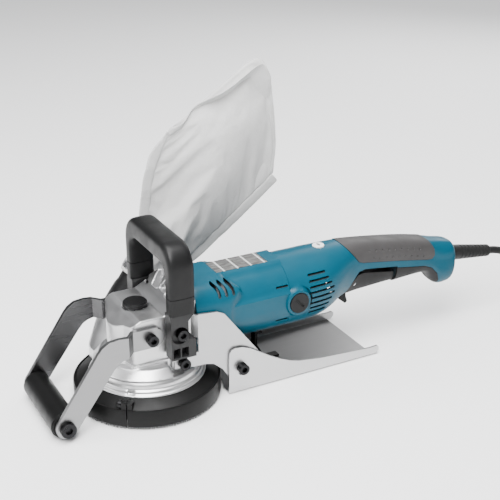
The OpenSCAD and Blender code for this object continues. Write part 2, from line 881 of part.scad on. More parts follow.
// Side view of the two shells, and of their hollow
shell_outline = concat(
    [[seam_x + 0.1, motor_z - motor_d / 2], [160, 39.5], [176, 42.5], [187, 47.5], [194, 53], [199, 58]],
    [[209.8, 72.2], [218.7, 81], [226, 82]],
    [[264, 76.5], [264, 62], [270, 59.5], [308, 59.5], [313, 54], [319, 44.5], [325, 40.5], [331, 41]],
    [[336, 45.5], [340, 54], [342, 65], [341, 71], [338, 78], [333, 84.5], [324, 89.5], [317, 91.5]],
    [[279, 100], [242, 106], [207, 109.8], [seam_x + 0.1, motor_z + motor_d / 2]]
);
hollow_outline = [
    [seam_x - 1, 42], [160, 42.5], [175, 45.5], [186, 51], [194, 58], [206, 73], [214, 84],
    [212, 60], [222, 60], [263, 60], [266, 62], [300, 64], [318, 62], [330, 62], [330, 76], [316, 86],
    [279, 96], [242, 102], [207, 106], [seam_x - 1, 107]
];
// Top view of the shells: full width at the motor, then the grip
function plan(half, cut) = [
    [seam_x + cut, motor_d / 2 + half], [165, motor_d / 2 - 0.5 + half], [180, 32.5 + half],
    [194, 27 + half], [208, 21 + half], [222, grip_half + half], [345, grip_half + half],
    [345, -grip_half - half], [222, -grip_half - half], [208, -21 - half], [194, -27 - half],
    [180, -32.5 - half], [165, 0.5 - motor_d / 2 - half], [seam_x + cut, -motor_d / 2 - half]
];

module rear_shell_solid() {
    intersection() {
        slab(-50, 50, shell_outline);
        linear_extrude(150) polygon(plan(0, 0.1));
        union() {
            rod_x(motor_d / 2 + 1, seam_x, 200);
            translate([199, 0, 66]) rotate([90, 7, 90]) linear_extrude(150)
                polygon(squircle(grip_half + 4, 46, 3));
            translate([170, -50, 48]) cube([40, 100, 54]);
        }
    }
}

module rear_shell_hollow() {
    intersection() {
        slab(-50, 50, hollow_outline);
        linear_extrude(150) polygon(plan(-shell_wall, -2));
        union() {
            rod_x(motor_d / 2 - shell_wall, seam_x - 2, 205);
            translate([204, -trigger_half - 0.4, 50]) cube([140, 2 * trigger_half + 0.8, 70]);
        }
    }
}

shell_screws = [[205, 96], [290, 90], [328, 58]];

module rear_shell() {
    color(teal) in_place() difference() {
        intersection() {
            rear_shell_solid();
            translate([0, -100, 0]) cube([400, 99.95, 200]);
        }
        difference() {
            rear_shell_hollow();
            for (p = shell_screws) rod_y(3.6, -50, 0, p[0], p[1]);
            ring_x(11, 14, 159, 168);
            translate([156, -40, motor_z - 12]) cube([3, 40, 24]);
        }
        rod_x(11, 159, 168);
        rod_x(7, 150, 160);
        rod_y(12.8, -50, -20, brush_x, motor_z);
        for (i = [0 : 7]) vent_slot([165 - abs(i - 3.5), 58.5 + 5.3 * i], 25 - 2 * abs(i - 3.5), 0);
        for (p = shell_screws) rod_y(1.6, -30, 1, p[0], p[1]);
        rod_y(2, -16, 1, trigger_pivot[0], trigger_pivot[1]);
        grip_skins(0.05);
        cord_guard_solid(0.1);
        translate([182, 0, 108.6]) cylinder(r = 6.1, h = 5);
    }
}

module rear_shell_near() rear_shell();
module rear_shell_far() mirror([0, 1, 0]) rear_shell();

upper_skin = [
    [198.5, 116], [218.5, 91.6], [224, 89.6], [268.6, 82.3], [304, 75.8], [309, 76.2], [311, 80],
    [310.5, 87], [307, 94], [302, 100], [280, 110], [240, 116]
];
lower_skin = [
    [266.2, 74.6], [300.5, 68.9], [309.6, 64.7], [316.5, 57.5], [321, 47.4], [321.5, 38], [312, 45],
    [308, 54], [300, 56.5], [268.5, 56.5], [266.2, 60]
];

// The rubber skins reach inwards as far as the shells' recessed surface
module skin_region(outline, grow) {
    difference() {
        slab(-30, 30, outline);
        translate([0, grow, 0]) slab(-grip_half + rubber_t - grow, grip_half - rubber_t - grow, [
            [190, 50], [190, 109.8 - rubber_t], [207, 109.8 - rubber_t], [242, 106 - rubber_t],
            [279, 100 - rubber_t], [317, 91.5 - rubber_t], [330, 60], [322, 43], [314.5, 56],
            [308, 59.6], [266, 59.6], [264, 50]
        ]);
    }
}

module grip_skins(grow) {
    skin_region(upper_skin, grow);
    skin_region(lower_skin, grow);
}

module upper_grip() {
    color(rubber_grey) in_place() intersection() {
        skin_region(upper_skin, 0);
        rear_shell_envelope();
    }
}

module lower_grip() {
    color(rubber_grey) in_place() intersection() {
        skin_region(lower_skin, 0);
        rear_shell_envelope();
    }
}

// Outer surface shared by the shells and the rubber skins
module rear_shell_envelope() {
    intersection() {
        slab(-50, 50, [
            [190, 40], [262, 54], [268.5, 56.6], [300, 56.6], [308, 54.5], [313, 48], [319, 40],
            [331, 41], [342, 65], [333, 84.5], [317, 91.5], [279, 100], [242, 106], [207, 109.8],
            [190, 111]
        ]);
        linear_extrude(150) polygon(plan(0, 0.1));
        translate([189, 0, 66]) rotate([90, 7, 90]) linear_extrude(160)
            polygon(squircle(grip_half + 4, 46, 3));
    }
}

module rear_shell_screws() {
    color(steel) in_place() for (p = shell_screws) rod_y(1.6, -12, 10, p[0], p[1]);
}

module badge() {
    color("#e8e8e4") in_place() rod_z(6, 108.7, 111.6, 182);
}

module switch_block() {
    color(black) in_place() translate([226, -11, 84]) cube([30, 22, 12]);
}

module trigger_pin() {
    color(steel) in_place() rod_y(2, -15.8, 15.8, trigger_pivot[0], trigger_pivot[1]);
}

lever_outline = [
    [202.5, 54.5], [203.4, 50.2], [211.5, 43.3], [214, 45.2], [212.2, 51.4], [212, 57.5],
    [210.5, 60.5], [208, 61.5], [205, 60]
];

module trigger() {
    color(rubber_grey) in_place() difference() {
        slab(-trigger_half, trigger_half, [
            [201, 58.4], [205, 55], [213, 53], [219.5, 55.6], [261, 56], [264.2, 59.6],
            [262.5, 70.5], [226, 77], [219.5, 76.5], [210.8, 69.5]
        ]);
        rod_y(2 + running_gap, -20, 20, trigger_pivot[0], trigger_pivot[1]);
        translate([198, -6.4, 40]) cube([16.8, 12.8, 23]);
        translate([228, -trigger_half + 3, 62]) cube([28, 2 * trigger_half - 6, 20]);
    }
}

module lock_lever() {
    color(rubber_grey) in_place() difference() {
        slab(-6, 6, lever_outline);
        rod_y(1.5 + running_gap, -20, 20, lever_pivot[0], lever_pivot[1]);
    }
}

// ------------------------------------------------------------ cord and plug

module along(a, b) {
    d = b - a;
    translate(a) rotate([0, acos(d[2] / norm(d)), atan2(d[1], d[0])]) children();
}

module cord_guard_solid(grow) {
    guard_len = norm(guard_end - guard_start);
    translate([base_mid_x, 0, 0]) along(guard_start, guard_end) rotate_extrude() polygon([
        [0, -grow], [10 + grow, -grow], [10 + grow, 4 + grow], [7.9 + grow, 4 + grow],
        [7.8 + grow, 30], [cord_r + 1.2 + grow, guard_len], [0, guard_len]
    ]);
}

module cord_guard() {
    color(black) in_place() cord_guard_solid(0);
}

module power_cord() {
    color(black) tube_along(route, cord_r, 12);
}

module cord_coil() {
    color(black) translate(coil_centre) rotate_extrude()
        translate([coil_in, 0]) square([coil_out - coil_in, coil_h]);
}

module cord_tail() {
    color(black) tube_along(tail_route, cord_r, 12);
}

module plug_place() translate(plug_entry) rotate([0, -90, 0]) children();

module plug_body() {
    color(black) plug_place() rotate_extrude() polygon([
        [0, 0], [5.6, 0], [7.5, 22], [9.5, 26], [plug_r - 1.5, 36], [plug_r, 40], [plug_r, 56], [0, 56]
    ]);
}

module plug_pins() {
    pin_gap = 19;
    color(steel) plug_place() for (s = [-1, 1])
        translate([0, s * pin_gap / 2, 56]) cylinder(r = 2.4, h = 19);
}

gear_housing();
bearing_box();
head_screws();
dust_cover();
dust_skirt();
skirt_brush();
dust_nozzle();
bag_clamp();
dust_bag();
front_handle();
handle_bracket_near();
handle_bracket_far();
side_plate_near();
side_plate_far();
frame_bolts();
motor_housing();
rear_shell_near();
rear_shell_far();
upper_grip();
lower_grip();
rear_shell_screws();
rating_label();
badge();
switch_block();
cord_guard();
brush_holders();
carbon_brushes();
brush_caps();
field_core();
field_coils();
armature_bearings();
spindle_bearings();
trigger_pin();
shaft_lock_button();
shaft_lock_spring();
spindle();
bevel_gear();
inner_flange();
cup_wheel();
diamond_segments();
lock_nut();
armature_shaft();
bevel_pinion();
armature_core();
armature_windings();
commutator();
cooling_fan();
roller_arm_near();
roller_arm_far();
roller_axle();
front_roller();
base_plate();
base_stay();
trigger();
lock_lever();
power_cord();
cord_coil();
cord_tail();
plug_body();
plug_pins();
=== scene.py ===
import math
import random

import bmesh
import bpy
from mathutils import Matrix, Vector, noise


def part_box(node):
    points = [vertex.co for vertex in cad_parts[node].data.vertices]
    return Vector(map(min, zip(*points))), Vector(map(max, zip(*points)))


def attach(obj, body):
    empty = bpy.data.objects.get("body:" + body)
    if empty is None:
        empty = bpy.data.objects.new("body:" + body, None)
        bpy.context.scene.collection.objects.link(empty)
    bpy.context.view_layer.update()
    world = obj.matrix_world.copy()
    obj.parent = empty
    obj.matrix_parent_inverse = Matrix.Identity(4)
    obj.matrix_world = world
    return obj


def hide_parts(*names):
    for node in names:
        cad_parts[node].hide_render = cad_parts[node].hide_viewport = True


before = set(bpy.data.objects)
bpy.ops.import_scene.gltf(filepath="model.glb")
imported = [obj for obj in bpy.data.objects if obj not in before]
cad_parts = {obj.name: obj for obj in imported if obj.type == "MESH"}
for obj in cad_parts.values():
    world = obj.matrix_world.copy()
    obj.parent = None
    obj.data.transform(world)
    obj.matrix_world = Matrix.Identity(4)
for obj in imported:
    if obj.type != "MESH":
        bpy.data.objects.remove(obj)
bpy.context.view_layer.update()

# Lengths are in mm, with x from the spindle's axis, unless a name says otherwise.
MM = 0.001


def middle(node):
    low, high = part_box(node)
    return (low + high) / 2


SPINDLE_X = middle("spindle").x
MOTOR_Z = middle("armature_shaft").z / MM
MOTOR_R = 35.5
BRUSH_X = (middle("brush_caps").x - SPINDLE_X) / MM
BADGE_X = (middle("badge").x - SPINDLE_X) / MM


def at(x, y, z):
    """A point in the row frame, in metres."""
    return Vector((SPINDLE_X + x * MM, y * MM, z * MM))


def row(x, y, z):
    """A point given in mm in the row frame itself, as the cord's are."""
    return Vector((x, y, z)) * MM


def smoothstep(a, b, x):
    t = min(max((x - a) / (b - a), 0), 1)
    return t * t * (3 - 2 * t)


def mix(a, b, t):
    return a + (b - a) * t


def along(table, x):
    """The values of a table of (x, value, ...) rows at x, on smooth curves."""
    if x <= table[0][0]:
        return table[0][1:]
    for i in range(len(table) - 1):
        x0, x1 = table[i][0], table[i + 1][0]
        if x <= x1:
            t = (x - x0) / (x1 - x0)
            out = []
            for k in range(1, len(table[0])):
                p0 = table[max(i - 1, 0)]
                p1, p2 = table[i], table[i + 1]
                p3 = table[min(i + 2, len(table) - 1)]
                m1 = (p2[k] - p0[k]) / (p2[0] - p0[0]) * (x1 - x0)
                m2 = (p3[k] - p1[k]) / (p3[0] - p1[0]) * (x1 - x0)
                out.append((2 * t**3 - 3 * t**2 + 1) * p1[k] + (t**3 - 2 * t**2 + t) * m1
                           + (3 * t**2 - 2 * t**3) * p2[k] + (t**3 - t**2) * m2)
            return out
    return table[-1][1:]


# ------------------------------------------------------------------ camera

CAMERA_AZIMUTH = math.radians(-28.13)
CAMERA_ELEVATION = math.radians(23.58)
CAMERA_DISTANCE = 0.986
CAMERA_TARGET = at(107.52, 0, 120.18)


def make_camera():
    data = bpy.data.cameras.new("camera")
    data.lens = 76.36
    data.sensor_width = 36
    camera = bpy.data.objects.new("camera", data)
    bpy.context.scene.collection.objects.link(camera)
    back = Vector((
        math.sin(CAMERA_AZIMUTH) * math.cos(CAMERA_ELEVATION),
        -math.cos(CAMERA_AZIMUTH) * math.cos(CAMERA_ELEVATION),
        math.sin(CAMERA_ELEVATION),
    ))
    camera.rotation_mode = "QUATERNION"
    camera.location = CAMERA_TARGET + back * CAMERA_DISTANCE
    camera.rotation_quaternion = (-back).to_track_quat("-Z", "Y")
    bpy.context.scene.camera = camera


make_camera()

# --------------------------------------------------------------- materials


class Surface:
    """A procedural material: a Principled shader and the nodes that feed it."""

    def __init__(self, name, colour, rough, metal=0.0, **sockets):
        self.material = bpy.data.materials.new(name)
        self.material.use_nodes = True
        self.nodes = self.material.node_tree.nodes
        self.links = self.material.node_tree.links
        self.shader = self.nodes["Principled BSDF"]
        self.shader.inputs["Base Color"].default_value = (*colour, 1)
        self.shader.inputs["Roughness"].default_value = rough
        self.shader.inputs["Metallic"].default_value = metal
        for key, value in sockets.items():
            self.shader.inputs[key.replace("_", " ")].default_value = value
        self.colour = colour
        self.rough = rough
        self.place = self.nodes.new("ShaderNodeTexCoord").outputs["Object"]
        self.normal = None

    def put(self, kind, inputs=None, **settings):
        node = self.nodes.new(kind)
        for key, value in settings.items():
            setattr(node, key, value)
        for key, value in (inputs or {}).items():
            if isinstance(value, bpy.types.NodeSocket):
                self.links.new(value, node.inputs[key])
            else:
                node.inputs[key].default_value = value
        return node

    def stretched(self, scale):
        return self.put("ShaderNodeMapping", {"Vector": self.place, "Scale": scale}).outputs["Vector"]

    def noise(self, scale, detail=2.0, vector=None, rough=0.5):
        return self.put("ShaderNodeTexNoise", {
            "Vector": vector or self.place, "Scale": scale, "Detail": detail, "Roughness": rough,
        }).outputs["Fac"]

    def spread(self, value, low, high, start=0.35, end=0.65):
        return self.put("ShaderNodeMapRange", {
            "Value": value, "From Min": start, "From Max": end, "To Min": low, "To Max": high,
        }).outputs["Result"]

    def vary_colour(self, value, low, high):
        """The base colour runs from low to high times itself as value goes from 0 to 1."""
        two = [tuple(min(c * k, 1) for c in self.colour) + (1,) for k in (low, high)]
        node = self.put("ShaderNodeMix", data_type="RGBA")
        self.links.new(value, node.inputs[0])
        node.inputs[6].default_value, node.inputs[7].default_value = two
        self.links.new(node.outputs[2], self.shader.inputs["Base Color"])
        return node.outputs[2]

    def tint(self, value, colour):
        """Mixes another colour over the present one by value."""
        node = self.put("ShaderNodeMix", data_type="RGBA")
        self.links.new(value, node.inputs[0])
        held = self.shader.inputs["Base Color"]
        if held.links:
            self.links.new(held.links[0].from_socket, node.inputs[6])
        else:
            node.inputs[6].default_value = held.default_value
        node.inputs[7].default_value = (*colour, 1)
        self.links.new(node.outputs[2], held)

    def vary_rough(self, value, low, high):
        self.links.new(self.spread(value, low, high), self.shader.inputs["Roughness"])

    def bump(self, value, strength, depth):
        inputs = {"Height": value, "Strength": strength, "Distance": depth}
        if self.normal:
            inputs["Normal"] = self.normal
        self.normal = self.put("ShaderNodeBump", inputs).outputs["Normal"]
        self.links.new(self.normal, self.shader.inputs["Normal"])


def moulded(name, colour, rough, grain=2600, depth=0.00012, strength=0.25, **sockets):
    """Moulded plastic or rubber: fine grain, faint flow marks and handling."""
    s = Surface(name, colour, rough, **sockets)
    s.vary_colour(s.noise(34, 4), 0.88, 1.12)
    s.vary_rough(s.noise(60, 5), rough - 0.05, rough + 0.07)
    s.bump(s.noise(grain, 2), strength, depth)
    return s


def cast(name, colour, rough):
    """Die-cast aluminium: soft pebbled skin, slightly clouded."""
    s = Surface(name, colour, rough, metal=1.0)
    s.vary_colour(s.noise(45, 5), 0.94, 1.05)
    s.vary_rough(s.noise(90, 3), rough - 0.02, rough + 0.03)
    s.bump(s.noise(1300, 3), 0.10, 0.00010)
    return s


def rolled(name, colour, rough, scale=(30, 900, 900), top=1.0):
    """Rolled sheet: grain along the tool, with light scuffs. With top below 1 its upward faces get painted
    shade, a darker colour set by the face normal.
    """
    s = Surface(name, colour, rough, metal=1.0)
    s.vary_colour(s.noise(12, 4), 0.95, 1.05)
    s.vary_rough(s.noise(1.0, 5, s.stretched(scale)), rough - 0.03, rough + 0.05)
    s.bump(s.noise(1.0, 4, s.stretched(scale)), 0.06, 0.00005)
    scuffs = s.noise(1.0, 6, s.stretched((70, 420, 420)), 0.7)
    s.tint(s.spread(scuffs, 0.0, 0.4, 0.66, 0.74), tuple(c * 0.72 for c in colour))
    if top < 1:
        # Painted shade: faces whose normal points up are darkened to top times the colour, standing in for a
        # dark reflection.
        facing = s.put("ShaderNodeNewGeometry").outputs["Normal"]
        upward = s.put("ShaderNodeSeparateXYZ", {"Vector": facing}).outputs["Z"]
        s.tint(s.spread(upward, 0.0, 1.0, 0.6, 0.9), tuple(c * top for c in colour))
    return s


def machined(name, colour, rough, metal=1.0):
    s = Surface(name, colour, rough, metal=metal)
    s.vary_rough(s.noise(300, 4), rough - 0.05, rough + 0.1)
    s.vary_colour(s.noise(200, 3), 0.85, 1.1)
    s.bump(s.noise(2200, 2), 0.12, 0.00006)
    return s


def felt(name, colour):
    """Filter felt: short matted fibres, with thin and thick places."""
    s = Surface(name, colour, 0.92)
    s.shader.inputs["Sheen Weight"].default_value = 0.25
    s.shader.inputs["Sheen Roughness"].default_value = 0.6
    s.vary_colour(s.spread(s.noise(45, 6, rough=0.65), 0, 1), 0.90, 1.05)
    # Painted shade: the felt darkens towards the bottom of the bag, by height.
    height = s.put("ShaderNodeSeparateXYZ", {"Vector": s.place}).outputs["Z"]
    s.tint(s.spread(height, 1.0, 0.0, 0.13, 0.24), tuple(c * 0.80 for c in colour))
    specks = s.noise(520, 3, rough=0.7)
    s.tint(s.spread(specks, 0, 0.35, 0.55, 0.75), tuple(c * 0.72 for c in colour))
    s.bump(s.noise(900, 4, rough=0.7), 0.45, 0.0005)
    s.bump(s.noise(170, 4), 0.40, 0.0013)
    return s


def dimpled(name, colour):
    """Soft grip rubber with a fine stipple."""
    s = moulded(name, colour, 0.62, grain=1900, depth=0.0002, strength=0.35)
    cells = s.put("ShaderNodeTexVoronoi", {"Vector": s.place, "Scale": 700.0}).outputs["Distance"]
    s.bump(cells, 0.12, 0.00015)
    return s


def grit(name, colour):
    s = Surface(name, colour, 0.7, metal=0.6)
    specks = s.put("ShaderNodeTexVoronoi", {"Vector": s.place, "Scale": 1400.0}).outputs["Distance"]
    s.tint(s.spread(specks, 0.8, 0.0, 0.05, 0.25), (0.55, 0.52, 0.4))
    s.bump(s.noise(2500, 3), 0.6, 0.0004)
    return s


def striped(name, colour):
    """Printed foil: plain bars across the label and no lettering."""
    s = Surface(name, colour, 0.38, metal=0.35)
    parts = s.put("ShaderNodeSeparateXYZ", {"Vector": s.place})
    fine = s.noise(1.0, 0, s.stretched((620, 25, 1)))
    rows = s.noise(1.0, 1, s.stretched((60, 900, 1)))
    s.tint(s.spread(fine, 0, 0.75, 0.47, 0.53), (0.09, 0.085, 0.08))
    s.tint(s.spread(rows, 0, 0.35, 0.5, 0.56), (0.42, 0.42, 0.41))
    wide = s.put("ShaderNodeMath", {0: parts.outputs["X"], 1: 72.0}, operation="MULTIPLY")
    wave = s.put("ShaderNodeMath", {0: wide.outputs[0]}, operation="FRACT")
    s.tint(s.spread(wave.outputs[0], 0, 0.8, 0.86, 0.88), (0.75, 0.75, 0.73))
    return s


TEAL = (0.0, 0.060, 0.096)
SURFACES = {
    "teal_housing": (moulded, (TEAL, 0.34), dict(grain=1800, strength=0.12, Specular_IOR_Level=0.22)),
    # Painted shade: a darker copy of the teal plastic, given to faces inside the housing, its vents, slots,
    # holes and grip grooves.
    "inside_dark": (moulded, ((0.006, 0.02, 0.026), 0.7), {}),
    "black_plastic": (moulded, ((0.005, 0.005, 0.0052), 0.42), dict(strength=0.3, Specular_IOR_Level=0.2)),
    "dark_bracket": (moulded, ((0.014, 0.014, 0.0143), 0.42), dict(Specular_IOR_Level=0.25)),
    "grip_rubber": (dimpled, ((0.032, 0.030, 0.030),), {}),
    "trigger_rubber": (moulded, ((0.007, 0.0068, 0.0068), 0.5), dict(Specular_IOR_Level=0.2)),
    "skirt_rubber": (moulded, ((0.004, 0.004, 0.004), 0.38), dict(strength=0.2, Specular_IOR_Level=0.16)),
    "bristle": (moulded, ((0.16, 0.16, 0.16), 0.6), {}),
    "cast_aluminium": (cast, ((0.62, 0.62, 0.624), 0.36), {}),
    "plate_aluminium": (rolled, ((0.44, 0.44, 0.443), 0.36), {}),
    # Painted shade: the roller arms are darker copies of the plate metal, the far arm darkest, standing in
    # for dark reflections.
    "arm_near": (rolled, ((0.24, 0.24, 0.242), 0.33), {}),
    "arm_far": (rolled, ((0.10, 0.10, 0.102), 0.30), {}),
    # Painted shade: top=0.38 darkens the base plate's upward faces, standing in for a dark reflection.
    "base_sheet": (rolled, ((0.50, 0.50, 0.503), 0.34), dict(top=0.38)),
    "steel": (machined, ((0.48, 0.48, 0.49), 0.3), {}),
    "black_bolt": (machined, ((0.022, 0.022, 0.023), 0.32), {}),
    "core_steel": (machined, ((0.25, 0.26, 0.27), 0.5), {}),
    "copper": (machined, ((0.72, 0.32, 0.16), 0.35), {}),
    "brass": (machined, ((0.72, 0.52, 0.22), 0.35), {}),
    "carbon": (machined, ((0.03, 0.03, 0.03), 0.6), dict(metal=0.0)),
    "wheel_steel": (machined, ((0.07, 0.10, 0.14), 0.4), dict(metal=0.3)),
    "diamond": (grit, ((0.2, 0.2, 0.21),), {}),
    "bag_felt": (felt, ((0.54, 0.538, 0.532),), {}),
    "label_foil": (striped, ((0.08, 0.079, 0.078),), {}),
    "badge_white": (moulded, ((0.78, 0.78, 0.76), 0.3), {}),
    "badge_grey": (moulded, ((0.12, 0.13, 0.14), 0.4), {}),
    "cord_rubber": (moulded, ((0.008, 0.008, 0.008), 0.5), dict(Specular_IOR_Level=0.3)),
    "pin_metal": (machined, ((0.66, 0.64, 0.60), 0.22), {}),
}
surfaces = {name: maker(name, *args, **extra) for name, (maker, args, extra) in SURFACES.items()}


def surface(name):
    return surfaces[name].material


# -------------------------------------------------------------- mesh tools


def add(name, verts, faces, material, smooth=True):
    mesh = bpy.data.meshes.new(name)
    mesh.from_pydata([tuple(v) for v in verts], [], faces)
    mesh.update()
    bm = bmesh.new()
    bm.from_mesh(mesh)
    bmesh.ops.recalc_face_normals(bm, faces=bm.faces)
    bm.to_mesh(mesh)
    bm.free()
    mesh.materials.append(surface(material))
    if smooth:
        mesh.shade_smooth()
    obj = bpy.data.objects.new(name, mesh)
    bpy.context.scene.collection.objects.link(obj)
    return obj


def loft(name, rings, material, closed=False):
    """A skin over rings of equal point counts. Open lofts get end caps."""
    n = len(rings[0])
    verts = [p for ring in rings for p in ring]
    faces = []
    count = len(rings)
    for i in range(count if closed else count - 1):
        a, b = i * n, (i + 1) % count * n
        faces += [(a + k, a + (k + 1) % n, b + (k + 1) % n, b + k) for k in range(n)]
    if not closed:
        faces.append(tuple(range(n)))
        faces.append(tuple(range((count - 1) * n, count * n)))
    return add(name, verts, faces, material)


def prism(name, outline, y0, y1, material):
    """An outline in x and z, from y0 to y1."""
    n = len(outline)
    verts = [at(x, y, z) for y in (y0, y1) for x, z in outline]
    faces = [(k, (k + 1) % n, n + (k + 1) % n, n + k) for k in range(n)]
    faces += [tuple(range(n)), tuple(range(n, 2 * n))]
    return add(name, verts, faces, material)


def turned(name, profile, origin, axis, material, steps=64):
    """A profile of (distance along the axis, radius), turned about an axis through origin."""
    axis = Vector(axis).normalized()
    side = axis.orthogonal().normalized()
    up = axis.cross(side)
    rings = []
    for length, radius in profile:
        ring = []
        for k in range(steps):
            a = 2 * math.pi * k / steps
            out = side * math.cos(a) + up * math.sin(a)
            ring.append(origin + axis * (length * MM) + out * (radius * MM))
        rings.append(ring)
    return loft(name, rings, material)


def freeze(obj):
    """Applies the modifiers."""
    bpy.context.view_layer.update()
    graph = bpy.context.evaluated_depsgraph_get()
    mesh = bpy.data.meshes.new_from_object(obj.evaluated_get(graph))
    obj.modifiers.clear()
    obj.data = mesh
    return obj


def drop(*objs):
    for o in objs:
        bpy.data.objects.remove(o)


def cut(obj, tool, operation="DIFFERENCE", keep_tool=False):
    m = obj.modifiers.new("cut", "BOOLEAN")
    m.operation = operation
    m.object = tool
    m.solver = "EXACT"
    # Cut faces take the tool's material, so tools in the darker inside material put painted shade on them.
    m.material_mode = "TRANSFER"
    freeze(obj)
    if not keep_tool:
        drop(tool)
    return obj


def copy_of(obj, name):
    new = obj.copy()
    new.data = obj.data.copy()
    new.name = new.data.name = name
    bpy.context.scene.collection.objects.link(new)
    return new


def bevel(obj, width, segments=2, angle=32):
    m = obj.modifiers.new("bevel", "BEVEL")
    m.width = width * MM
    m.segments = segments
    m.limit_method = "ANGLE"
    m.angle_limit = math.radians(angle)
    m.harden_normals = True
    m.use_clamp_overlap = True
    m.miter_outer = "MITER_ARC"
    return obj


def crease(obj, angle=30):
    """Smooth shading with sharp edges above the angle."""
    obj.data.shade_smooth()
    obj.data.set_sharp_from_angle(angle=math.radians(angle))
    return obj


def dress(node, material, width=0.35, segments=2):
    """Gives a CAD node its material and small rounded edges."""
    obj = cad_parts[node]
    obj.data.materials.clear()
    obj.data.materials.append(surface(material))
    if "custom_normal" in obj.data.attributes:
        obj.data.attributes.remove(obj.data.attributes["custom_normal"])
    obj.data.shade_smooth()
    if width:
        weld = obj.modifiers.new("weld", "WELD")
        weld.merge_threshold = 0.00001
        flat = obj.modifiers.new("flat", "DECIMATE")
        flat.decimate_type = "DISSOLVE"
        flat.angle_limit = math.radians(1.5)
        bevel(obj, width, segments)


def dress_cast(node, material, grain):
    """A die-cast CAD node: its edges are rounded all over by remeshing and smoothing."""
    dress(node, material, 0)
    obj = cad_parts[node]
    skin = obj.modifiers.new("skin", "REMESH")
    skin.mode = "VOXEL"
    skin.voxel_size = grain * MM
    skin.use_smooth_shade = True
    soft = obj.modifiers.new("soft", "SMOOTH")
    soft.factor = 0.5
    soft.iterations = 5
    few = obj.modifiers.new("few", "DECIMATE")
    few.ratio = 0.4


def stand_in(obj, body, slot, *nodes):
    """obj rides on a body and takes the place of CAD nodes."""
    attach(obj, body)
    if nodes:
        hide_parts(*nodes)
    return obj


def super_ring(x, cy, cz, a, up, down, power, steps=72):
    """A rounded cross-section in y and z at x: half width a, reach up and down."""
    ring = []
    for k in range(steps):
        t = 2 * math.pi * k / steps
        c, s = math.cos(t), math.sin(t)
        b = up if s > 0 else down
        y = math.copysign(abs(c) ** (2 / power), c) * a
        z = math.copysign(abs(s) ** (2 / power), s) * b
        ring.append(at(x, cy + y, cz + z))
    return ring


# -------------------------------------------------------------------- cord

CORD_D = 8
# The guard's length, and the height of its axis where it leaves the handle
GUARD_LENGTH = 60.75
GUARD_Z = 70.6
ROUTE = [
    (250, 0, 61), (260, 0, 59.4), (269, 0.2, 56.4), (277, 0.7, 51.8), (284, 1.4, 46),
    (290.5, 2.2, 39), (296.5, 3, 31.5), (302.5, 3.6, 24), (309, 4, 17.2), (316.5, 4, 11.4),
    (325.5, 3, 7), (337, 1.1, 4.4),
]
TAIL = [
    (342, -99.4, 28.5), (334, -100.2, 27.9), (326, -101.6, 25.8), (318, -103, 22.6),
    (310, -104, 19.9), (302, -104.6, 18.4), (294, -104.8, 18), (286, -104.8, 18),
]
COIL_X = 350
COIL_R = 49.7
COIL_PITCH = 8.25
COIL_LIFT = 8.2
COIL_END = 3060
# Where the winding moves to the next turn: angle, over how many degrees, outwards or inwards
COIL_SHIFTS = [(262, 85, -1), (622, 85, -1), (1167, 85, 1), (1527, 85, 1), (2102, 85, -1), (2702, 60, 1)]
# Where it climbs to the next layer: angle, over how many degrees
COIL_RISES = [(892, 90), (1827, 60), (2402, 60)]


def ease(t):
    t = min(max(t, 0), 1)
    return 2 * t * t if t < 0.5 else 1 - 2 * (1 - t) ** 2


def coil_point(angle):
    r = COIL_R + COIL_PITCH * sum(d * ease((angle - s) / w) for s, w, d in COIL_SHIFTS)
    z = CORD_D / 2 + COIL_LIFT * sum(ease((angle - s) / w) for s, w in COIL_RISES)
    t = math.radians(90 - angle)
    return (COIL_X + r * math.cos(t), r * math.sin(t) - COIL_R, z)


def make_cord():
    points = ROUTE + [coil_point(a) for a in range(0, COIL_END + 1, 12)] + TAIL
    data = bpy.data.curves.new("power_lead", "CURVE")
    data.dimensions = "3D"
    data.bevel_depth = CORD_D / 2 * MM
    data.bevel_resolution = 6
    data.use_fill_caps = True
    data.resolution_u = 3
    spline = data.splines.new("BEZIER")
    spline.bezier_points.add(len(points) - 1)
    for bez, p in zip(spline.bezier_points, points):
        bez.co = row(*p)
        bez.handle_left_type = bez.handle_right_type = "AUTO"
    data.materials.append(surface("cord_rubber"))
    lead = bpy.data.objects.new("power_lead", data)
    bpy.context.scene.collection.objects.link(lead)
    stand_in(lead, "tool_body", "cord_rubber", "power_cord", "cord_coil", "cord_tail")
    return lead


def make_guard():
    """Ribbed strain relief, tapering to the cord."""
    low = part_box("cord_guard")[0]
    start = Vector((low.x, 0, GUARD_Z * MM))
    end = Vector(row(*ROUTE[0]))
    start = end + (start - end).normalized() * GUARD_LENGTH * MM
    profile = [(0, 8), (0, 10), (4, 10), (4, 8.05), (18, 7.95)]
    for i in range(8):
        x = 19.5 + 5 * i
        r = mix(7.9, 6.5, i / 7)
        profile += [(x, r), (x + 0.4, r - 0.7), (x + 1.5, r - 0.7), (x + 1.9, r - 0.05)]
    profile += [(59.5, 6.4), (60.4, 5.9), (60.7, 5)]
    guard = turned("cord_sleeve", profile, start, end - start, "cord_rubber")
    crease(guard, 35)
    return stand_in(guard, "tool_body", "cord_rubber", "cord_guard")


lead = make_cord()
guard = make_guard()

# ----------------------------------------------------------- motor housing

MOTOR_STATIONS = [35.1, 35.6, 36.6, 40, 46, 52, 58, 62, 65, 68, 70, 72, 74, 76, 78, 80, 82, 84, 87,
                  92, 98, 104, 110, 116, 120, 124, 128, 130, 131.3, 131.9]
# The label's flat: its height over the motor's axis, and half its width
PAD_TOP = 36.5
PAD_HALF = 12.8


CASE_WALL = 2.8
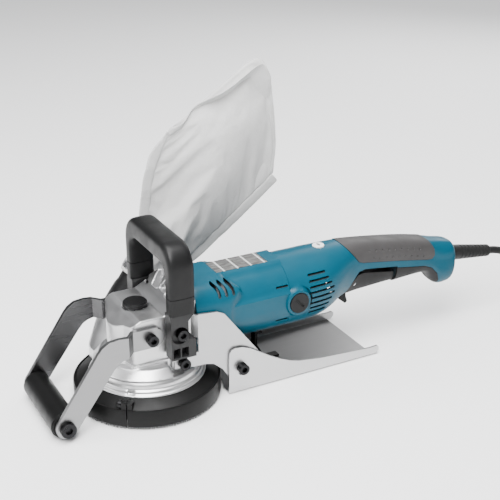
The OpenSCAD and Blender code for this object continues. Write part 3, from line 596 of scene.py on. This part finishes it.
# The ring round each brush cap: distance out from BOSS_Y, and radius
BOSS_Y = 30
BOSS_PROFILE = [
    (-4, 18.5), (0.5, 18), (1.6, 16.4), (2.6, 14.9), (4.3, 13.5), (6.2, 12.7), (7.4, 12.4), (7.8, 11.7),
    (7.8, 10.2), (4, 10.2), (-4, 10.2),
]
FRONT_VENTS = 3
FRONT_VENT_X = 56.8
FRONT_VENT_PITCH = 7
FRONT_VENT_RISE = 28
FRONT_VENT_SIZE = (13.5, 3.3)
FRONT_VENT_TILT = -68
SLIT_X = 124.5
SLIT_HEIGHTS = (91.5, 58)
SLIT_SIZE = (13, 1.9)


def motor_ring(x, inset=0.0, steps=96):
    """Squarish at the flange, round at the seam, with the label's flat on top."""
    ring = []
    for k in range(steps):
        t = 2 * math.pi * k / steps
        c, s = math.cos(t), math.sin(t)
        side = math.degrees(math.atan2(s, abs(c)))
        reach = 71 + 11 * math.exp(-(((side - 36) / 17) ** 2))
        square = 1 - smoothstep(reach - 3.5, reach + 2.5, x)
        power = mix(2.0, 3.1, square)
        a = mix(MOTOR_R, 37.5, square) - inset
        b = mix(MOTOR_R, 36.6, square) - inset
        if x < 37:
            a -= (37 - x) * 0.25
            b -= (37 - x) * 0.25
        y = math.copysign(abs(c) ** (2 / power), c) * a
        z = math.copysign(abs(s) ** (2 / power), s) * b
        if s > 0:
            pad = PAD_TOP - inset - max(abs(y) - PAD_HALF, 0) * 1.15
            z = max(z, mix(z, pad, smoothstep(58, 64, x)))
            z = min(z, PAD_TOP - inset + 0.1)
        ring.append(at(x, y, MOTOR_Z + z))
    return ring


def slot_tool(name, x, z, length, width, y0, y1, tilt=0.0, bend=0.0, steps=8):
    """A tool that cuts a round-ended slot from y0 to y1, curved by bend."""
    outline = []
    half = length / 2 - width / 2
    for side in (1, -1):
        for k in range(steps + 1):
            u = side * (k / steps * 2 - 1) * half
            arc = bend * (1 - (u / half) ** 2)
            outline.append((u, arc + side * -width / 2))
        for k in range(1, 6):
            a = -math.pi / 2 * side + math.pi * k / 6
            outline.append((side * half + math.cos(a) * width / 2, math.sin(a) * width / 2))
    a = math.radians(tilt)
    turned_outline = [(x + u * math.cos(a) - v * math.sin(a), z + u * math.sin(a) + v * math.cos(a))
                      for u, v in outline]
    return prism(name, turned_outline, y0, y1, "inside_dark")


def label_pocket():
    """A box that cuts the label's seat."""
    low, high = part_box("rating_label")
    mesh = bpy.data.meshes.new("pocket")
    bm = bmesh.new()
    bmesh.ops.create_cube(bm, size=1)
    bm.to_mesh(mesh)
    bm.free()
    mesh.materials.append(surface("teal_housing"))
    pocket = bpy.data.objects.new("pocket", mesh)
    bpy.context.scene.collection.objects.link(pocket)
    pocket.location = ((low.x + high.x) / 2, 0, low.z + 3.5 * MM)
    pocket.scale = (high.x - low.x + 0.6 * MM, high.y - low.y + 0.6 * MM, 7.5 * MM)
    return pocket


def make_motor():
    body = loft("motor_case", [motor_ring(x) for x in MOTOR_STATIONS], "teal_housing")
    inner_stations = [30, 37.9] + MOTOR_STATIONS[3:-3] + [136]
    inner = loft("inner", [motor_ring(x, CASE_WALL) for x in inner_stations], "inside_dark")
    cut(body, inner)
    for side in (-1, 1):
        for i in range(FRONT_VENTS):
            x = FRONT_VENT_X + FRONT_VENT_PITCH * i
            cut(body, slot_tool("vent", x, MOTOR_Z + FRONT_VENT_RISE, *FRONT_VENT_SIZE,
                                *sorted((side * 10, side * 45)), tilt=FRONT_VENT_TILT, bend=1.4))
        for z in SLIT_HEIGHTS:
            cut(body, slot_tool("slit", SLIT_X, z, *SLIT_SIZE, *sorted((side * 24, side * 40))))
    cut(body, label_pocket())
    crease(body, 28)
    bevel(body, 0.35, 2, 40)
    stand_in(body, "tool_body", "teal_housing", "motor_housing")
    for side, name in ((-1, "brush_boss_near"), (1, "brush_boss_far")):
        boss = turned(name, BOSS_PROFILE, at(BRUSH_X, side * BOSS_Y, MOTOR_Z), (0, side, 0), "teal_housing")
        crease(boss, 40)
        stand_in(boss, "tool_body", "teal_housing")


# ------------------------------------------------- rear housing and handle

# x, half width, top, bottom and squareness of the rear body's sections
REAR = [
    (132.15, 35.6, 109.9, 38.9, 2.0),
    (145, 35.6, 109.9, 38.9, 2.0),
    (158, 35.4, 109.9, 39.3, 2.0),
    (168, 34.6, 109.9, 40.8, 2.05),
    (178, 32.8, 109.9, 43.6, 2.1),
    (187, 30, 109.9, 47.6, 2.15),
    (195, 26.8, 109.9, 52.6, 2.25),
    (202, 23.9, 109.8, 54.8, 2.4),
    (210, 20.9, 109.5, 54.2, 2.6),
    (220, 18.3, 108.6, 54.8, 2.8),
    (232, 17.2, 107.2, 55.3, 2.9),
    (264, 17, 102.5, 57, 2.9),
    (285, 17, 98.8, 58.4, 2.9),
    (300, 17, 95.5, 58.8, 2.9),
    (308, 17, 93.7, 57, 2.9),
    (313, 17, 92.5, 51.5, 2.8),
    (318, 17, 91.1, 44.8, 2.7),
    (324, 17, 89.8, 40.6, 2.7),
    (331, 16.9, 88.2, 40.8, 2.8),
    (336, 16.4, 86.8, 41.8, 2.8),
    (339, 15.4, 85.4, 43.6, 2.7),
    (340.8, 13.8, 83.6, 46, 2.6),
    (341.7, 11.6, 81.4, 49, 2.5),
    (342, 9.2, 79, 52, 2.4),
]
REAR_STEP = 3.2
# How far the grips' skins stand out, how thick their seat is, and the gap round them
UPPER_PROUD = 0.45
LOWER_PROUD = 0.35
SEAT_DEPTH = 1.7
GRIP_GAP = 0.35
SHELL_WALL = 2.6
REAR_VENTS = 8
REAR_VENT_WIDTH = 2.2
REAR_VENT_FOOT = 58.5
REAR_VENT_PITCH = 5.3
TRIGGER_POCKET = [
    (186, 40), (198.6, 57.6), (209.4, 72.2), (218.2, 81), (226, 82), (265.6, 76.4), (265.6, 40),
]
UPPER_SKIN = [
    (197, 118), (218, 91.8), (224, 89.4), (268.6, 82.3), (303, 76), (308, 76), (311, 79.2),
    (311.2, 85.5), (308, 92.5), (300, 104), (270, 118),
]
LOWER_SKIN = [
    (265, 74.9), (300.5, 68.9), (309.6, 64.7), (316.5, 57.5), (321, 47.4), (322.2, 36), (290, 36),
    (265, 50),
]
TRIGGER = [
    (201, 58.4), (203, 55.9), (206, 54.3), (213, 53), (219.5, 53.5), (261, 55.2), (263.4, 57), (264.2, 60),
    (262.5, 70.5), (226, 76.8), (219.5, 76.3), (210.8, 69.5),
]


def rear_ring(x, inset=0.0, trim=0.0):
    half, top, bottom, power = along(REAR, x)
    middle_z = mix(MOTOR_Z, (top + bottom) / 2, smoothstep(150, 215, x))
    return super_ring(x, 0, middle_z, max(half - inset - trim, 0.6), max(top - middle_z - inset, 0.6),
                      max(middle_z - bottom - inset, 0.6), power, 80)


def rear_loft(name, material, inset=0.0, trim=0.0, x0=None, x1=None):
    xs = [REAR[0][0]]
    while xs[-1] + REAR_STEP < 332:
        xs.append(xs[-1] + REAR_STEP)
    xs += [334, 336, 337.8, 339.3, 340.5, 341.4, 342]
    if x0 is not None:
        xs = [x for x in xs if x0 <= x <= x1]
    return loft(name, [rear_ring(x, inset, trim) for x in xs], material)


def grow(outline, by):
    """An outline moved out by a distance, for convex and gently hollow shapes."""
    n = len(outline)
    area = sum(outline[i][0] * outline[(i + 1) % n][1] - outline[(i + 1) % n][0] * outline[i][1]
               for i in range(n))
    sign = 1 if area > 0 else -1
    out = []
    for i in range(n):
        (ax, az), (bx, bz), (cx, cz) = outline[i - 1], outline[i], outline[(i + 1) % n]
        d1 = Vector((bx - ax, bz - az)).normalized()
        d2 = Vector((cx - bx, cz - bz)).normalized()
        n1 = Vector((d1.y, -d1.x)) * sign
        n2 = Vector((d2.y, -d2.x)) * sign
        m = (n1 + n2).normalized()
        out.append((bx + m.x * by / max(m.dot(n1), 0.4), bz + m.y * by / max(m.dot(n1), 0.4)))
    return out


def half_of(obj, name, side):
    """The half of obj on one side of the middle plane, closed at the seam."""
    new = copy_of(obj, name)
    bm = bmesh.new()
    bm.from_mesh(new.data)
    result = bmesh.ops.bisect_plane(
        bm, geom=bm.verts[:] + bm.edges[:] + bm.faces[:], plane_co=(0, side * 0.04 * MM, 0),
        plane_no=(0, -side, 0), clear_outer=True)
    edges = [e for e in result["geom_cut"] if isinstance(e, bmesh.types.BMEdge)]
    bmesh.ops.triangle_fill(bm, edges=edges, use_beauty=True)
    bmesh.ops.recalc_face_normals(bm, faces=bm.faces)
    bm.to_mesh(new.data)
    bm.free()
    return new


def dimple_tool():
    """Small balls along the grip's sides, which leave two rows of dimples."""
    bm = bmesh.new()
    for side in (-1, 1):
        for drop_by, start in ((7.5, 232), (15, 236)):
            for i in range(9):
                x = start + 7.6 * i
                half, top, bottom, power = along(REAR, x)
                centre = (top + bottom) / 2
                z = top - drop_by
                share = abs(z - centre) / (top - centre)
                y = side * (half + UPPER_PROUD) * (1 - share**power) ** (1 / power)
                spot = Matrix.Translation(at(x, y + side * 0.55, z))
                bmesh.ops.create_icosphere(bm, subdivisions=2, radius=1.25 * MM, matrix=spot)
    mesh = bpy.data.meshes.new("dimples")
    bm.to_mesh(mesh)
    bm.free()
    mesh.materials.append(surface("grip_rubber"))
    tool = bpy.data.objects.new("dimples", mesh)
    bpy.context.scene.collection.objects.link(tool)
    return tool


def make_rear():
    whole = rear_loft("rear", "teal_housing")
    hollow = rear_loft("hollow", "inside_dark", inset=SHELL_WALL, x0=REAR[0][0], x1=205)
    room = prism("room", [(128, 70), (128, 76), (140, 76), (140, 70)], -5, 5, "inside_dark")
    cut(hollow, room, "UNION")
    cut(whole, hollow)
    cut(whole, prism("pocket", TRIGGER_POCKET, -40, 40, "inside_dark"))
    upper = rear_loft("grip_top", "grip_rubber", inset=-UPPER_PROUD)
    cut(upper, prism("cutter", UPPER_SKIN, -40, 40, "grip_rubber"), "INTERSECT")
    cut(upper, dimple_tool())
    lower = rear_loft("grip_low", "trigger_rubber", inset=-LOWER_PROUD)
    cut(lower, prism("cutter", LOWER_SKIN, -40, 40, "trigger_rubber"), "INTERSECT")
    under = rear_loft("under", "inside_dark", inset=SEAT_DEPTH)
    for skin, outline in ((upper, UPPER_SKIN), (lower, LOWER_SKIN)):
        cut(skin, under, keep_tool=True)
        groove = rear_loft("groove", "inside_dark", inset=-2)
        cut(groove, prism("cutter", grow(outline, GRIP_GAP), -45, 45, "inside_dark"), "INTERSECT")
        cut(groove, under, keep_tool=True)
        cut(whole, groove)
        crease(skin, 30)
        bevel(skin, 0.5, 3, 40)
    drop(under)
    for side in (-1, 1):
        for i in range(REAR_VENTS):
            off = abs(i - (REAR_VENTS - 1) / 2)
            z = REAR_VENT_FOOT + REAR_VENT_PITCH * i
            cut(whole, slot_tool("vent", 168.5 - 1.5 * off, z, 31 - 3.2 * off, REAR_VENT_WIDTH,
                                 *sorted((side * 20, side * 45))))
        hole_foot = at(BRUSH_X, side * 22, MOTOR_Z)
        cut(whole, turned("hole", [(0, 15.5), (30, 15.5)], hole_foot, (0, side, 0), "inside_dark"))
    cut(whole, turned("badge_seat", [(0, 6.3), (9, 6.3)], at(BADGE_X, 0, 108.6), (0, 0, 1), "teal_housing"))
    for side, name in ((-1, "rear_case_near"), (1, "rear_case_far")):
        part = half_of(whole, name, side)
        crease(part, 28)
        bevel(part, 0.3, 2, 40)
        stand_in(part, "tool_body", "teal_housing", name.replace("case", "shell"))
    drop(whole)
    upper.name, lower.name = "upper_grip_skin", "lower_grip_skin"
    stand_in(upper, "tool_body", "grip_rubber", "upper_grip")
    stand_in(lower, "tool_body", "grip_rubber", "lower_grip")
    lever = rear_loft("switch_lever", "trigger_rubber", inset=0.4, trim=1.9, x0=195, x1=275)
    cut(lever, prism("cutter", TRIGGER, -40, 40, "trigger_rubber"), "INTERSECT")
    cut(lever, prism("gap", [(196, 40), (214.8, 40), (214.8, 63), (196, 63)], -6.5, 6.5, "trigger_rubber"))
    crease(lever, 30)
    bevel(lever, 0.9, 3, 38)
    stand_in(lever, "trigger_lever", "grip_rubber", "trigger")


# ------------------------------------------------------------ front handle

HANDLE_X0 = 3.5
HANDLE_DEPTH = 24
HANDLE_HALF = 51
HANDLE_TOP = 160
HANDLE_LEG = 12.5
HANDLE_BAR = 19
HANDLE_BOTTOM = 97


def handle_path():
    """Outer and inner points round the arch, in y and z, from the near leg to the far leg."""
    outer_r, inner_r = 21, 13
    outer, inner = [], []
    for z in (HANDLE_BOTTOM, 103, 111, 112.3, 112.5, 112.9, 113.1, 115, 122):
        outer.append((-HANDLE_HALF, z))
        inner.append((HANDLE_LEG - HANDLE_HALF, z))
    for k in range(13):
        a = math.pi - math.pi / 2 * k / 12
        outer.append((outer_r - HANDLE_HALF + outer_r * math.cos(a),
                      HANDLE_TOP - outer_r + outer_r * math.sin(a)))
        inner.append((HANDLE_LEG - HANDLE_HALF + inner_r + inner_r * math.cos(a),
                      HANDLE_TOP - HANDLE_BAR - inner_r + inner_r * math.sin(a)))
    for y in (-12, 0):
        outer.append((y, HANDLE_TOP))
        inner.append((y, HANDLE_TOP - HANDLE_BAR))
    outer += [(-y, z) for y, z in reversed(outer[:-1])]
    inner += [(-y, z) for y, z in reversed(inner[:-1])]
    return outer, inner


def handle_section():
    """Points round the bar: along the tool from 0 to 1, and from the inside 0 to the outside 1."""
    points = []
    for k in range(40):
        t = 2 * math.pi * (k + 0.5) / 40
        c, n = math.cos(t), math.sin(t)
        power = 5.5 if n < 0 else 4.2
        u = 0.5 + math.copysign(abs(c) ** (2 / power), c) / 2
        v = 0.5 + math.copysign(abs(n) ** (2 / power), n) / 2
        points.append((u, v))
    return points


def make_front_handle():
    outer, inner = handle_path()
    rings = []
    for (oy, oz), (iy, iz) in zip(outer, inner):
        groove = 0.5 if abs(oz - 112.7) < 0.35 else 0
        ring = []
        for u, v in handle_section():
            x = HANDLE_X0 + HANDLE_DEPTH * u - groove * (2 * u - 1)
            y = mix(iy, oy, v) - math.copysign(groove, oy) * (2 * v - 1)
            ring.append(at(x, y, mix(iz, oz, v)))
        rings.append(ring)
    handle = loft("handle_bow", rings, "black_plastic")
    crease(handle, 40)
    stand_in(handle, "tool_body", "black_plastic", "front_handle")


# ---------------------------------------------------------------- dust bag

BAG_Y = 71.5
BAG_LEFT = [
    (0.0, 26, 96), (0.12, 29, 116), (0.3, 35, 146), (0.55, 41, 181), (0.78, 49, 203), (1.0, 60, 224),
]
BAG_RIGHT = [
    (0.0, 52, 76), (0.12, 68, 86), (0.3, 96, 104), (0.6, 132, 130), (0.85, 161, 152), (1.0, 173, 162),
]
BAG_TOP = [
    (0.0, 60, 224), (0.14, 83, 231), (0.3, 106, 247), (0.48, 136, 269), (0.58, 152, 279), (0.64, 158.5, 277),
    (0.74, 166, 257), (0.85, 172, 222), (0.93, 174.5, 190), (1.0, 173, 162),
]
# The cuff's rings: distance along the outlet's axis, and radius
CUFF = [(33, 21.2), (33.2, 22.2), (36, 22.6), (37, 22.3), (40, 21.9), (43, 22.3), (45, 22.8)]
BAG_ROWS = 64
BAG_SIDE = 40
BAG_DEPTH = 21
# How far the simulation may move a point
BAG_SWELL = 7
BAG_CLOTH = 1.1
NECK_R = 22.6
# The dust outlet's lower end and how far it leans back, in degrees
OUTLET_X = 7
OUTLET_Z = 52
OUTLET_LEAN = 35


def outlet_frame():
    """The dust outlet's mouth, its axis, and two directions across it."""
    lean = math.radians(OUTLET_LEAN)
    axis = Vector((math.sin(lean), 0, math.cos(lean)))
    across = Vector((math.cos(lean), 0, -math.sin(lean)))
    return at(OUTLET_X, BAG_Y, OUTLET_Z), axis, across


def bag_point(u, v):
    """A point of the bag's flat outline, u across from the left seam and v up from the neck."""
    lx, lz = along(BAG_LEFT, v)
    rx, rz = along(BAG_RIGHT, v)
    tx, tz = along(BAG_TOP, u)
    t0, t1 = BAG_TOP[0][1:], BAG_TOP[-1][1:]
    b0, b1 = BAG_LEFT[0][1:], BAG_RIGHT[0][1:]
    bx, bz = mix(b0[0], b1[0], u), mix(b0[1], b1[1], u)
    x = mix(lx, rx, u) + mix(bx, tx, v) - mix(mix(b0[0], b1[0], u), mix(t0[0], t1[0], u), v)
    z = mix(lz, rz, u) + mix(bz, tz, v) - mix(mix(b0[1], b1[1], u), mix(t0[1], t1[1], u), v)
    return x, z


BAG_RIDGE = [(0.0, 0.5), (0.25, 0.47), (0.5, 0.50), (0.68, 0.47), (0.82, 0.33), (0.92, 0.16), (1.0, 0.05)]


def bag_depth(u, v, side):
    """Half the bag's thickness. The near panel folds along a ridge that curls to the upper left."""
    up = (1 - v**3) ** 0.75
    if side > 0:
        return BAG_DEPTH * max(math.sin(math.pi * u), 0) ** 0.62 * up
    ridge = along(BAG_RIDGE, v)[0]
    if u < ridge:
        rise = (u / ridge) ** mix(1.05, 1.5, smoothstep(0.1, 0.5, v))
        rise = mix(rise, max(math.sin(math.pi / 2 * u / ridge), 0), 0.35)
    else:
        rise = max(math.cos(math.pi / 2 * (u - ridge) / (1 - ridge)), 0) ** 0.7
    return BAG_DEPTH * rise * up


def folds(u, v, side):
    """Soft folds that rise from the neck, and slow waves above them."""
    low = math.exp(-((v / 0.40) ** 2))
    edge = max(math.sin(math.pi * u), 0)
    pleat = math.cos((u * 6.5 + side * 0.25 + 0.4 * math.sin(4 * v)) * math.pi) * 3.0 * low
    p = Vector((u * 2.6, v * 3.1, side * 7.3))
    slow = noise.noise(p) * 2.6 + noise.noise(p * 2.7) * 1.5
    hem = -1.3 * math.exp(-(((v - 0.945) / 0.012) ** 2))
    return (pleat + slow * smoothstep(0, 0.25, v)) * edge + hem * smoothstep(0.02, 0.1, edge)


def bag_ring(v, count):
    """One closed ring round the bag: the near panel from left to right, then the far one back."""
    origin, axis, across = outlet_frame()
    ring = []
    for k in range(2 * count):
        near = k <= count
        u = k / count if near else 2 - k / count
        side = -1 if near else 1
        x, z = bag_point(u, v)
        y = BAG_Y + side * (bag_depth(u, v, side) + folds(u, v, side) * (1 if near else 0.7))
        flat = at(x, y, z)
        a = math.pi * (1 - u)
        neck = origin + axis * (48 * MM) + (across * math.cos(a) + Vector((0, side, 0)) * math.sin(a)) * (
            NECK_R * MM)
        blend = smoothstep(0.0, 0.17, v)
        ring.append(neck.lerp(flat, blend))
    return ring


def bag_neck(count):
    """Rings of the cuff, from its lower hem up to where the panels begin."""
    origin, axis, across = outlet_frame()
    rings = []
    for length, radius in CUFF:
        ring = []
        for k in range(2 * count):
            near = k <= count
            u = k / count if near else 2 - k / count
            a = math.pi * (1 - u)
            side = -1 if near else 1
            pleat = 0.35 * math.cos(14 * a) * smoothstep(40, 46, length)
            out = across * math.cos(a) + Vector((0, side, 0)) * math.sin(a)
            ring.append(origin + axis * (length * MM) + out * ((radius + pleat) * MM))
        rings.append(ring)
    return rings


def swell(obj, anchor_rows, count, frames=18):
    """Cloth simulation: air pressure fills the bag, held at its cuff and seams."""
    group = obj.vertex_groups.new(name="held")
    n = 2 * count
    for i in range(len(obj.data.vertices)):
        row_index, k = divmod(i, n)
        v = (row_index - anchor_rows) / BAG_ROWS
        if row_index <= anchor_rows + 1:
            group.add([i], 1.0, "REPLACE")
        elif k in (0, count) or row_index >= anchor_rows + BAG_ROWS:
            group.add([i], 0.97, "REPLACE")
        elif v < 0.1:
            group.add([i], 1 - v * 9, "REPLACE")
    m = obj.modifiers.new("cloth", "CLOTH")
    m.settings.quality = 5
    m.settings.mass = 0.3
    m.settings.tension_stiffness = m.settings.compression_stiffness = 18
    m.settings.shear_stiffness = 8
    m.settings.bending_stiffness = 1.6
    m.settings.vertex_group_mass = "held"
    m.settings.use_pressure = True
    m.settings.uniform_pressure_force = 2.4
    m.settings.shrink_min = -0.035
    m.settings.effector_weights.gravity = 0
    m.point_cache.frame_end = frames
    scene = bpy.context.scene
    before = [v.co.copy() for v in obj.data.vertices]
    for f in range(1, frames + 1):
        scene.frame_set(f)
    graph = bpy.context.evaluated_depsgraph_get()
    mesh = obj.evaluated_get(graph).to_mesh()
    after = [v.co.copy() for v in mesh.vertices]
    obj.evaluated_get(graph).to_mesh_clear()
    obj.modifiers.remove(m)
    scene.frame_set(1)
    limit = BAG_SWELL * MM
    for v, b, a in zip(obj.data.vertices, before, after):
        move = a - b
        if move.length > limit:
            move *= limit / move.length
        v.co = b + move


def make_bag():
    count = BAG_SIDE
    neck = bag_neck(count)
    rings = neck + [bag_ring(i / BAG_ROWS, count) for i in range(1, BAG_ROWS + 1)]
    n = 2 * count
    verts = [p for r in rings for p in r]
    faces = []
    for i in range(len(rings) - 1):
        a, b = i * n, (i + 1) * n
        faces += [(a + k, a + (k + 1) % n, b + (k + 1) % n, b + k) for k in range(n)]
    bag = add("filter_bag", verts, faces, "bag_felt")
    bm = bmesh.new()
    bm.from_mesh(bag.data)
    bmesh.ops.remove_doubles(bm, verts=[v for v in bm.verts if v.index >= (len(rings) - 1) * n], dist=0.00005)
    bm.to_mesh(bag.data)
    bm.free()
    swell(bag, len(neck), count)
    edge = [bag.data.vertices[i * n].co.copy() for i in range(len(neck) + 3, len(rings) - 1)]
    edge_right = [bag.data.vertices[i * n + count].co.copy() for i in range(len(neck) + 3, len(rings) - 1)]
    solid = bag.modifiers.new("cloth_thickness", "SOLIDIFY")
    solid.thickness = BAG_CLOTH * MM
    solid.offset = -1
    sub = bag.modifiers.new("sub", "SUBSURF")
    sub.levels = sub.render_levels = 1
    freeze(bag)
    bag.data.shade_smooth()
    stand_in(bag, "tool_body", "bag_felt", "dust_bag")
    for name, line, sign in (("bag_seam_left", edge, -1), ("bag_seam_right", edge_right, 1)):
        make_seam(name, line, sign)


def make_seam(name, line, sign):
    """The flat strip outside a sewn edge."""
    width, thick = 8.0, 0.9
    rings = []
    last = len(line) - 1
    for i, p in enumerate(line):
        d = (line[min(i + 1, last)] - line[max(i - 1, 0)]).normalized()
        out = Vector((-d.z, 0, d.x)) * (1 if sign < 0 else -1)
        w = width * smoothstep(-0.5, 5, i) * (1 - 0.85 * smoothstep(last - 16, last, i) * (sign < 0)) * MM
        wave = Vector((0, 1, 0)) * (noise.noise(Vector((i * 0.13, sign, 0))) * 1.6 * MM)
        t = Vector((0, 1, 0)) * (thick * MM)
        inside, mid, edge = p - out * (3 * MM), p + out * w * 0.5 + wave * 0.5, p + out * w + wave
        rings.append([inside - t, mid - t, edge - t * 0.8, edge + t * 0.8, mid + t, inside + t])
    strip = loft(name, rings, "bag_felt")
    sub = strip.modifiers.new("sub", "SUBSURF")
    sub.levels = sub.render_levels = 1
    freeze(strip)
    stand_in(strip, "tool_body", "bag_felt")


# ------------------------------------------------------------ skirt's brush


def make_brush():
    """Rows of bristle tufts under the skirt."""
    rng = random.Random(7)
    low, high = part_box("skirt_brush")
    outer = (high.x - low.x) / 2 / MM
    top, floor = high.z / MM, low.z / MM
    verts, faces = [], []
    for ring, radius in enumerate((outer - 0.5, outer - 1.4, outer - 2.2)):
        count = 340
        for k in range(count):
            a = 2 * math.pi * (k + 0.33 * ring + rng.uniform(-0.2, 0.2)) / count
            lean, twist = rng.uniform(-0.35, 0.25), rng.uniform(-0.02, 0.02)
            foot = floor + rng.uniform(0.0, 0.9)
            base = len(verts)
            for z, r, w, turn in ((top, radius, 0.42, 0), (foot, radius + lean, 0.24, twist)):
                for da, dr in ((-w, -w), (w, -w), (w, w), (-w, w)):
                    ang = a + turn + da / radius
                    verts.append(at((r + dr) * math.cos(ang), (r + dr) * math.sin(ang), z))
            faces += [(base, base + 1, base + 5, base + 4), (base + 1, base + 2, base + 6, base + 5),
                      (base + 2, base + 3, base + 7, base + 6), (base + 3, base, base + 4, base + 7),
                      (base + 3, base + 2, base + 1, base), (base + 4, base + 5, base + 6, base + 7)]
    tufts = add("bristle_ring", verts, faces, "bristle", smooth=False)
    stand_in(tufts, "tool_body", "bristle", "skirt_brush")


# --------------------------------------------------------------- CAD nodes

NODE_LOOKS = {
    "plate_aluminium": (["side_plate_near", "side_plate_far"], 0.3),
    "base_sheet": (["base_plate"], 0.3),
    "arm_near": (["roller_arm_near"], 0.3),
    "arm_far": (["roller_arm_far"], 0.3),
    "dark_bracket": (["handle_bracket_near", "handle_bracket_far"], 0.5),
    "black_bolt": (["head_screws", "frame_bolts", "roller_axle"], 0.25),
    "black_plastic": (["dust_nozzle", "brush_caps", "shaft_lock_button", "switch_block", "cooling_fan",
                       "base_stay"], 0.3),
    "skirt_rubber": (["dust_skirt", "front_roller", "plug_body"], 0.4),
    "steel": (["bag_clamp", "armature_bearings", "spindle_bearings", "trigger_pin", "shaft_lock_spring",
               "spindle", "bevel_gear", "inner_flange", "lock_nut", "armature_shaft", "bevel_pinion",
               "rear_shell_screws"], 0.0),
    "core_steel": (["field_core", "armature_core"], 0.0),
    "copper": (["field_coils", "armature_windings", "commutator"], 0.0),
    "brass": (["brush_holders"], 0.0),
    "carbon": (["carbon_brushes"], 0.0),
    "wheel_steel": (["cup_wheel"], 0.3),
    "diamond": (["diamond_segments"], 0.0),
    "label_foil": (["rating_label"], 0.0),
    "pin_metal": (["plug_pins"], 0.3),
    "trigger_rubber": (["lock_lever"], 0.5),
}


def dress_nodes():
    for look, (nodes, width) in NODE_LOOKS.items():
        for node in nodes:
            dress(node, look, width)
    dress_cast("gear_housing", "cast_aluminium", 0.8)
    dress_cast("dust_cover", "cast_aluminium", 0.7)
    dress_cast("bearing_box", "cast_aluminium", 0.8)


# ------------------------------------------------------------------- stage


def make_badge():
    """Blank oval badge with a plain grey bar."""
    up = (0, 0, 1)
    edge = [(0, 5.9), (1.5, 5.9), (2.0, 5.5), (2.1, 5)]
    plate = turned("badge_plate", edge, at(BADGE_X, 0, 108.7), up, "badge_white")
    bar = turned("badge_bar", [(0, 1.3), (0.15, 1.3)], at(BADGE_X, 0, 110.75), up, "badge_grey", 32)
    for v in bar.data.vertices:
        v.co.y *= 2.3
    for o in (plate, bar):
        crease(o, 35)
    stand_in(plate, "tool_body", "badge_white", "badge")
    stand_in(bar, "tool_body", "badge_white")


def make_stage():
    mesh = bpy.data.meshes.new("floor")
    size = 6
    corners = [(-size, -size, 0), (size, -size, 0), (size, size, 0), (-size, size, 0)]
    mesh.from_pydata(corners, [], [(0, 1, 2, 3)])
    floor = bpy.data.objects.new("floor", mesh)
    bpy.context.scene.collection.objects.link(floor)
    floor.location.z = -0.0002
    s = Surface("floor_paint", (0.93, 0.93, 0.93), 0.7)
    s.vary_colour(s.noise(2, 2), 0.99, 1.01)
    mesh.materials.append(s.material)
    world = bpy.data.worlds.new("studio")
    world.use_nodes = True
    nodes, links = world.node_tree.nodes, world.node_tree.links
    place = nodes.new("ShaderNodeTexCoord").outputs["Generated"]
    parts = nodes.new("ShaderNodeSeparateXYZ")
    links.new(place, parts.inputs[0])
    sky = nodes.new("ShaderNodeMapRange")
    sky.interpolation_type = "SMOOTHSTEP"
    for key, value in {"From Min": 0.30, "From Max": 0.95, "To Min": 0.16, "To Max": 0.85}.items():
        sky.inputs[key].default_value = value
    links.new(parts.outputs["Z"], sky.inputs["Value"])
    links.new(sky.outputs["Result"], nodes["Background"].inputs["Strength"])
    nodes["Background"].inputs["Color"].default_value = (0.97, 0.98, 1.0, 1)
    bpy.context.scene.world = world
    for name, place, size, power in (
        ("key", (-0.75, -0.9, 1.5), 1.0, 62), ("top", (-0.15, -0.15, 1.8), 1.1, 52),
        ("rim", (1.1, 0.9, 0.8), 0.7, 10), ("left", (-1.4, 0.3, 0.6), 0.6, 8),
    ):
        data = bpy.data.lights.new(name, "AREA")
        data.shape = "SQUARE"
        data.size = size
        data.energy = power
        lamp = bpy.data.objects.new(name, data)
        bpy.context.scene.collection.objects.link(lamp)
        lamp.location = place
        lamp.rotation_mode = "QUATERNION"
        lamp.rotation_quaternion = (at(110, 0, 80) - Vector(place)).to_track_quat("-Z", "Y")


dress_nodes()
make_motor()
make_rear()
make_front_handle()
make_bag()
make_brush()
make_badge()
make_stage()
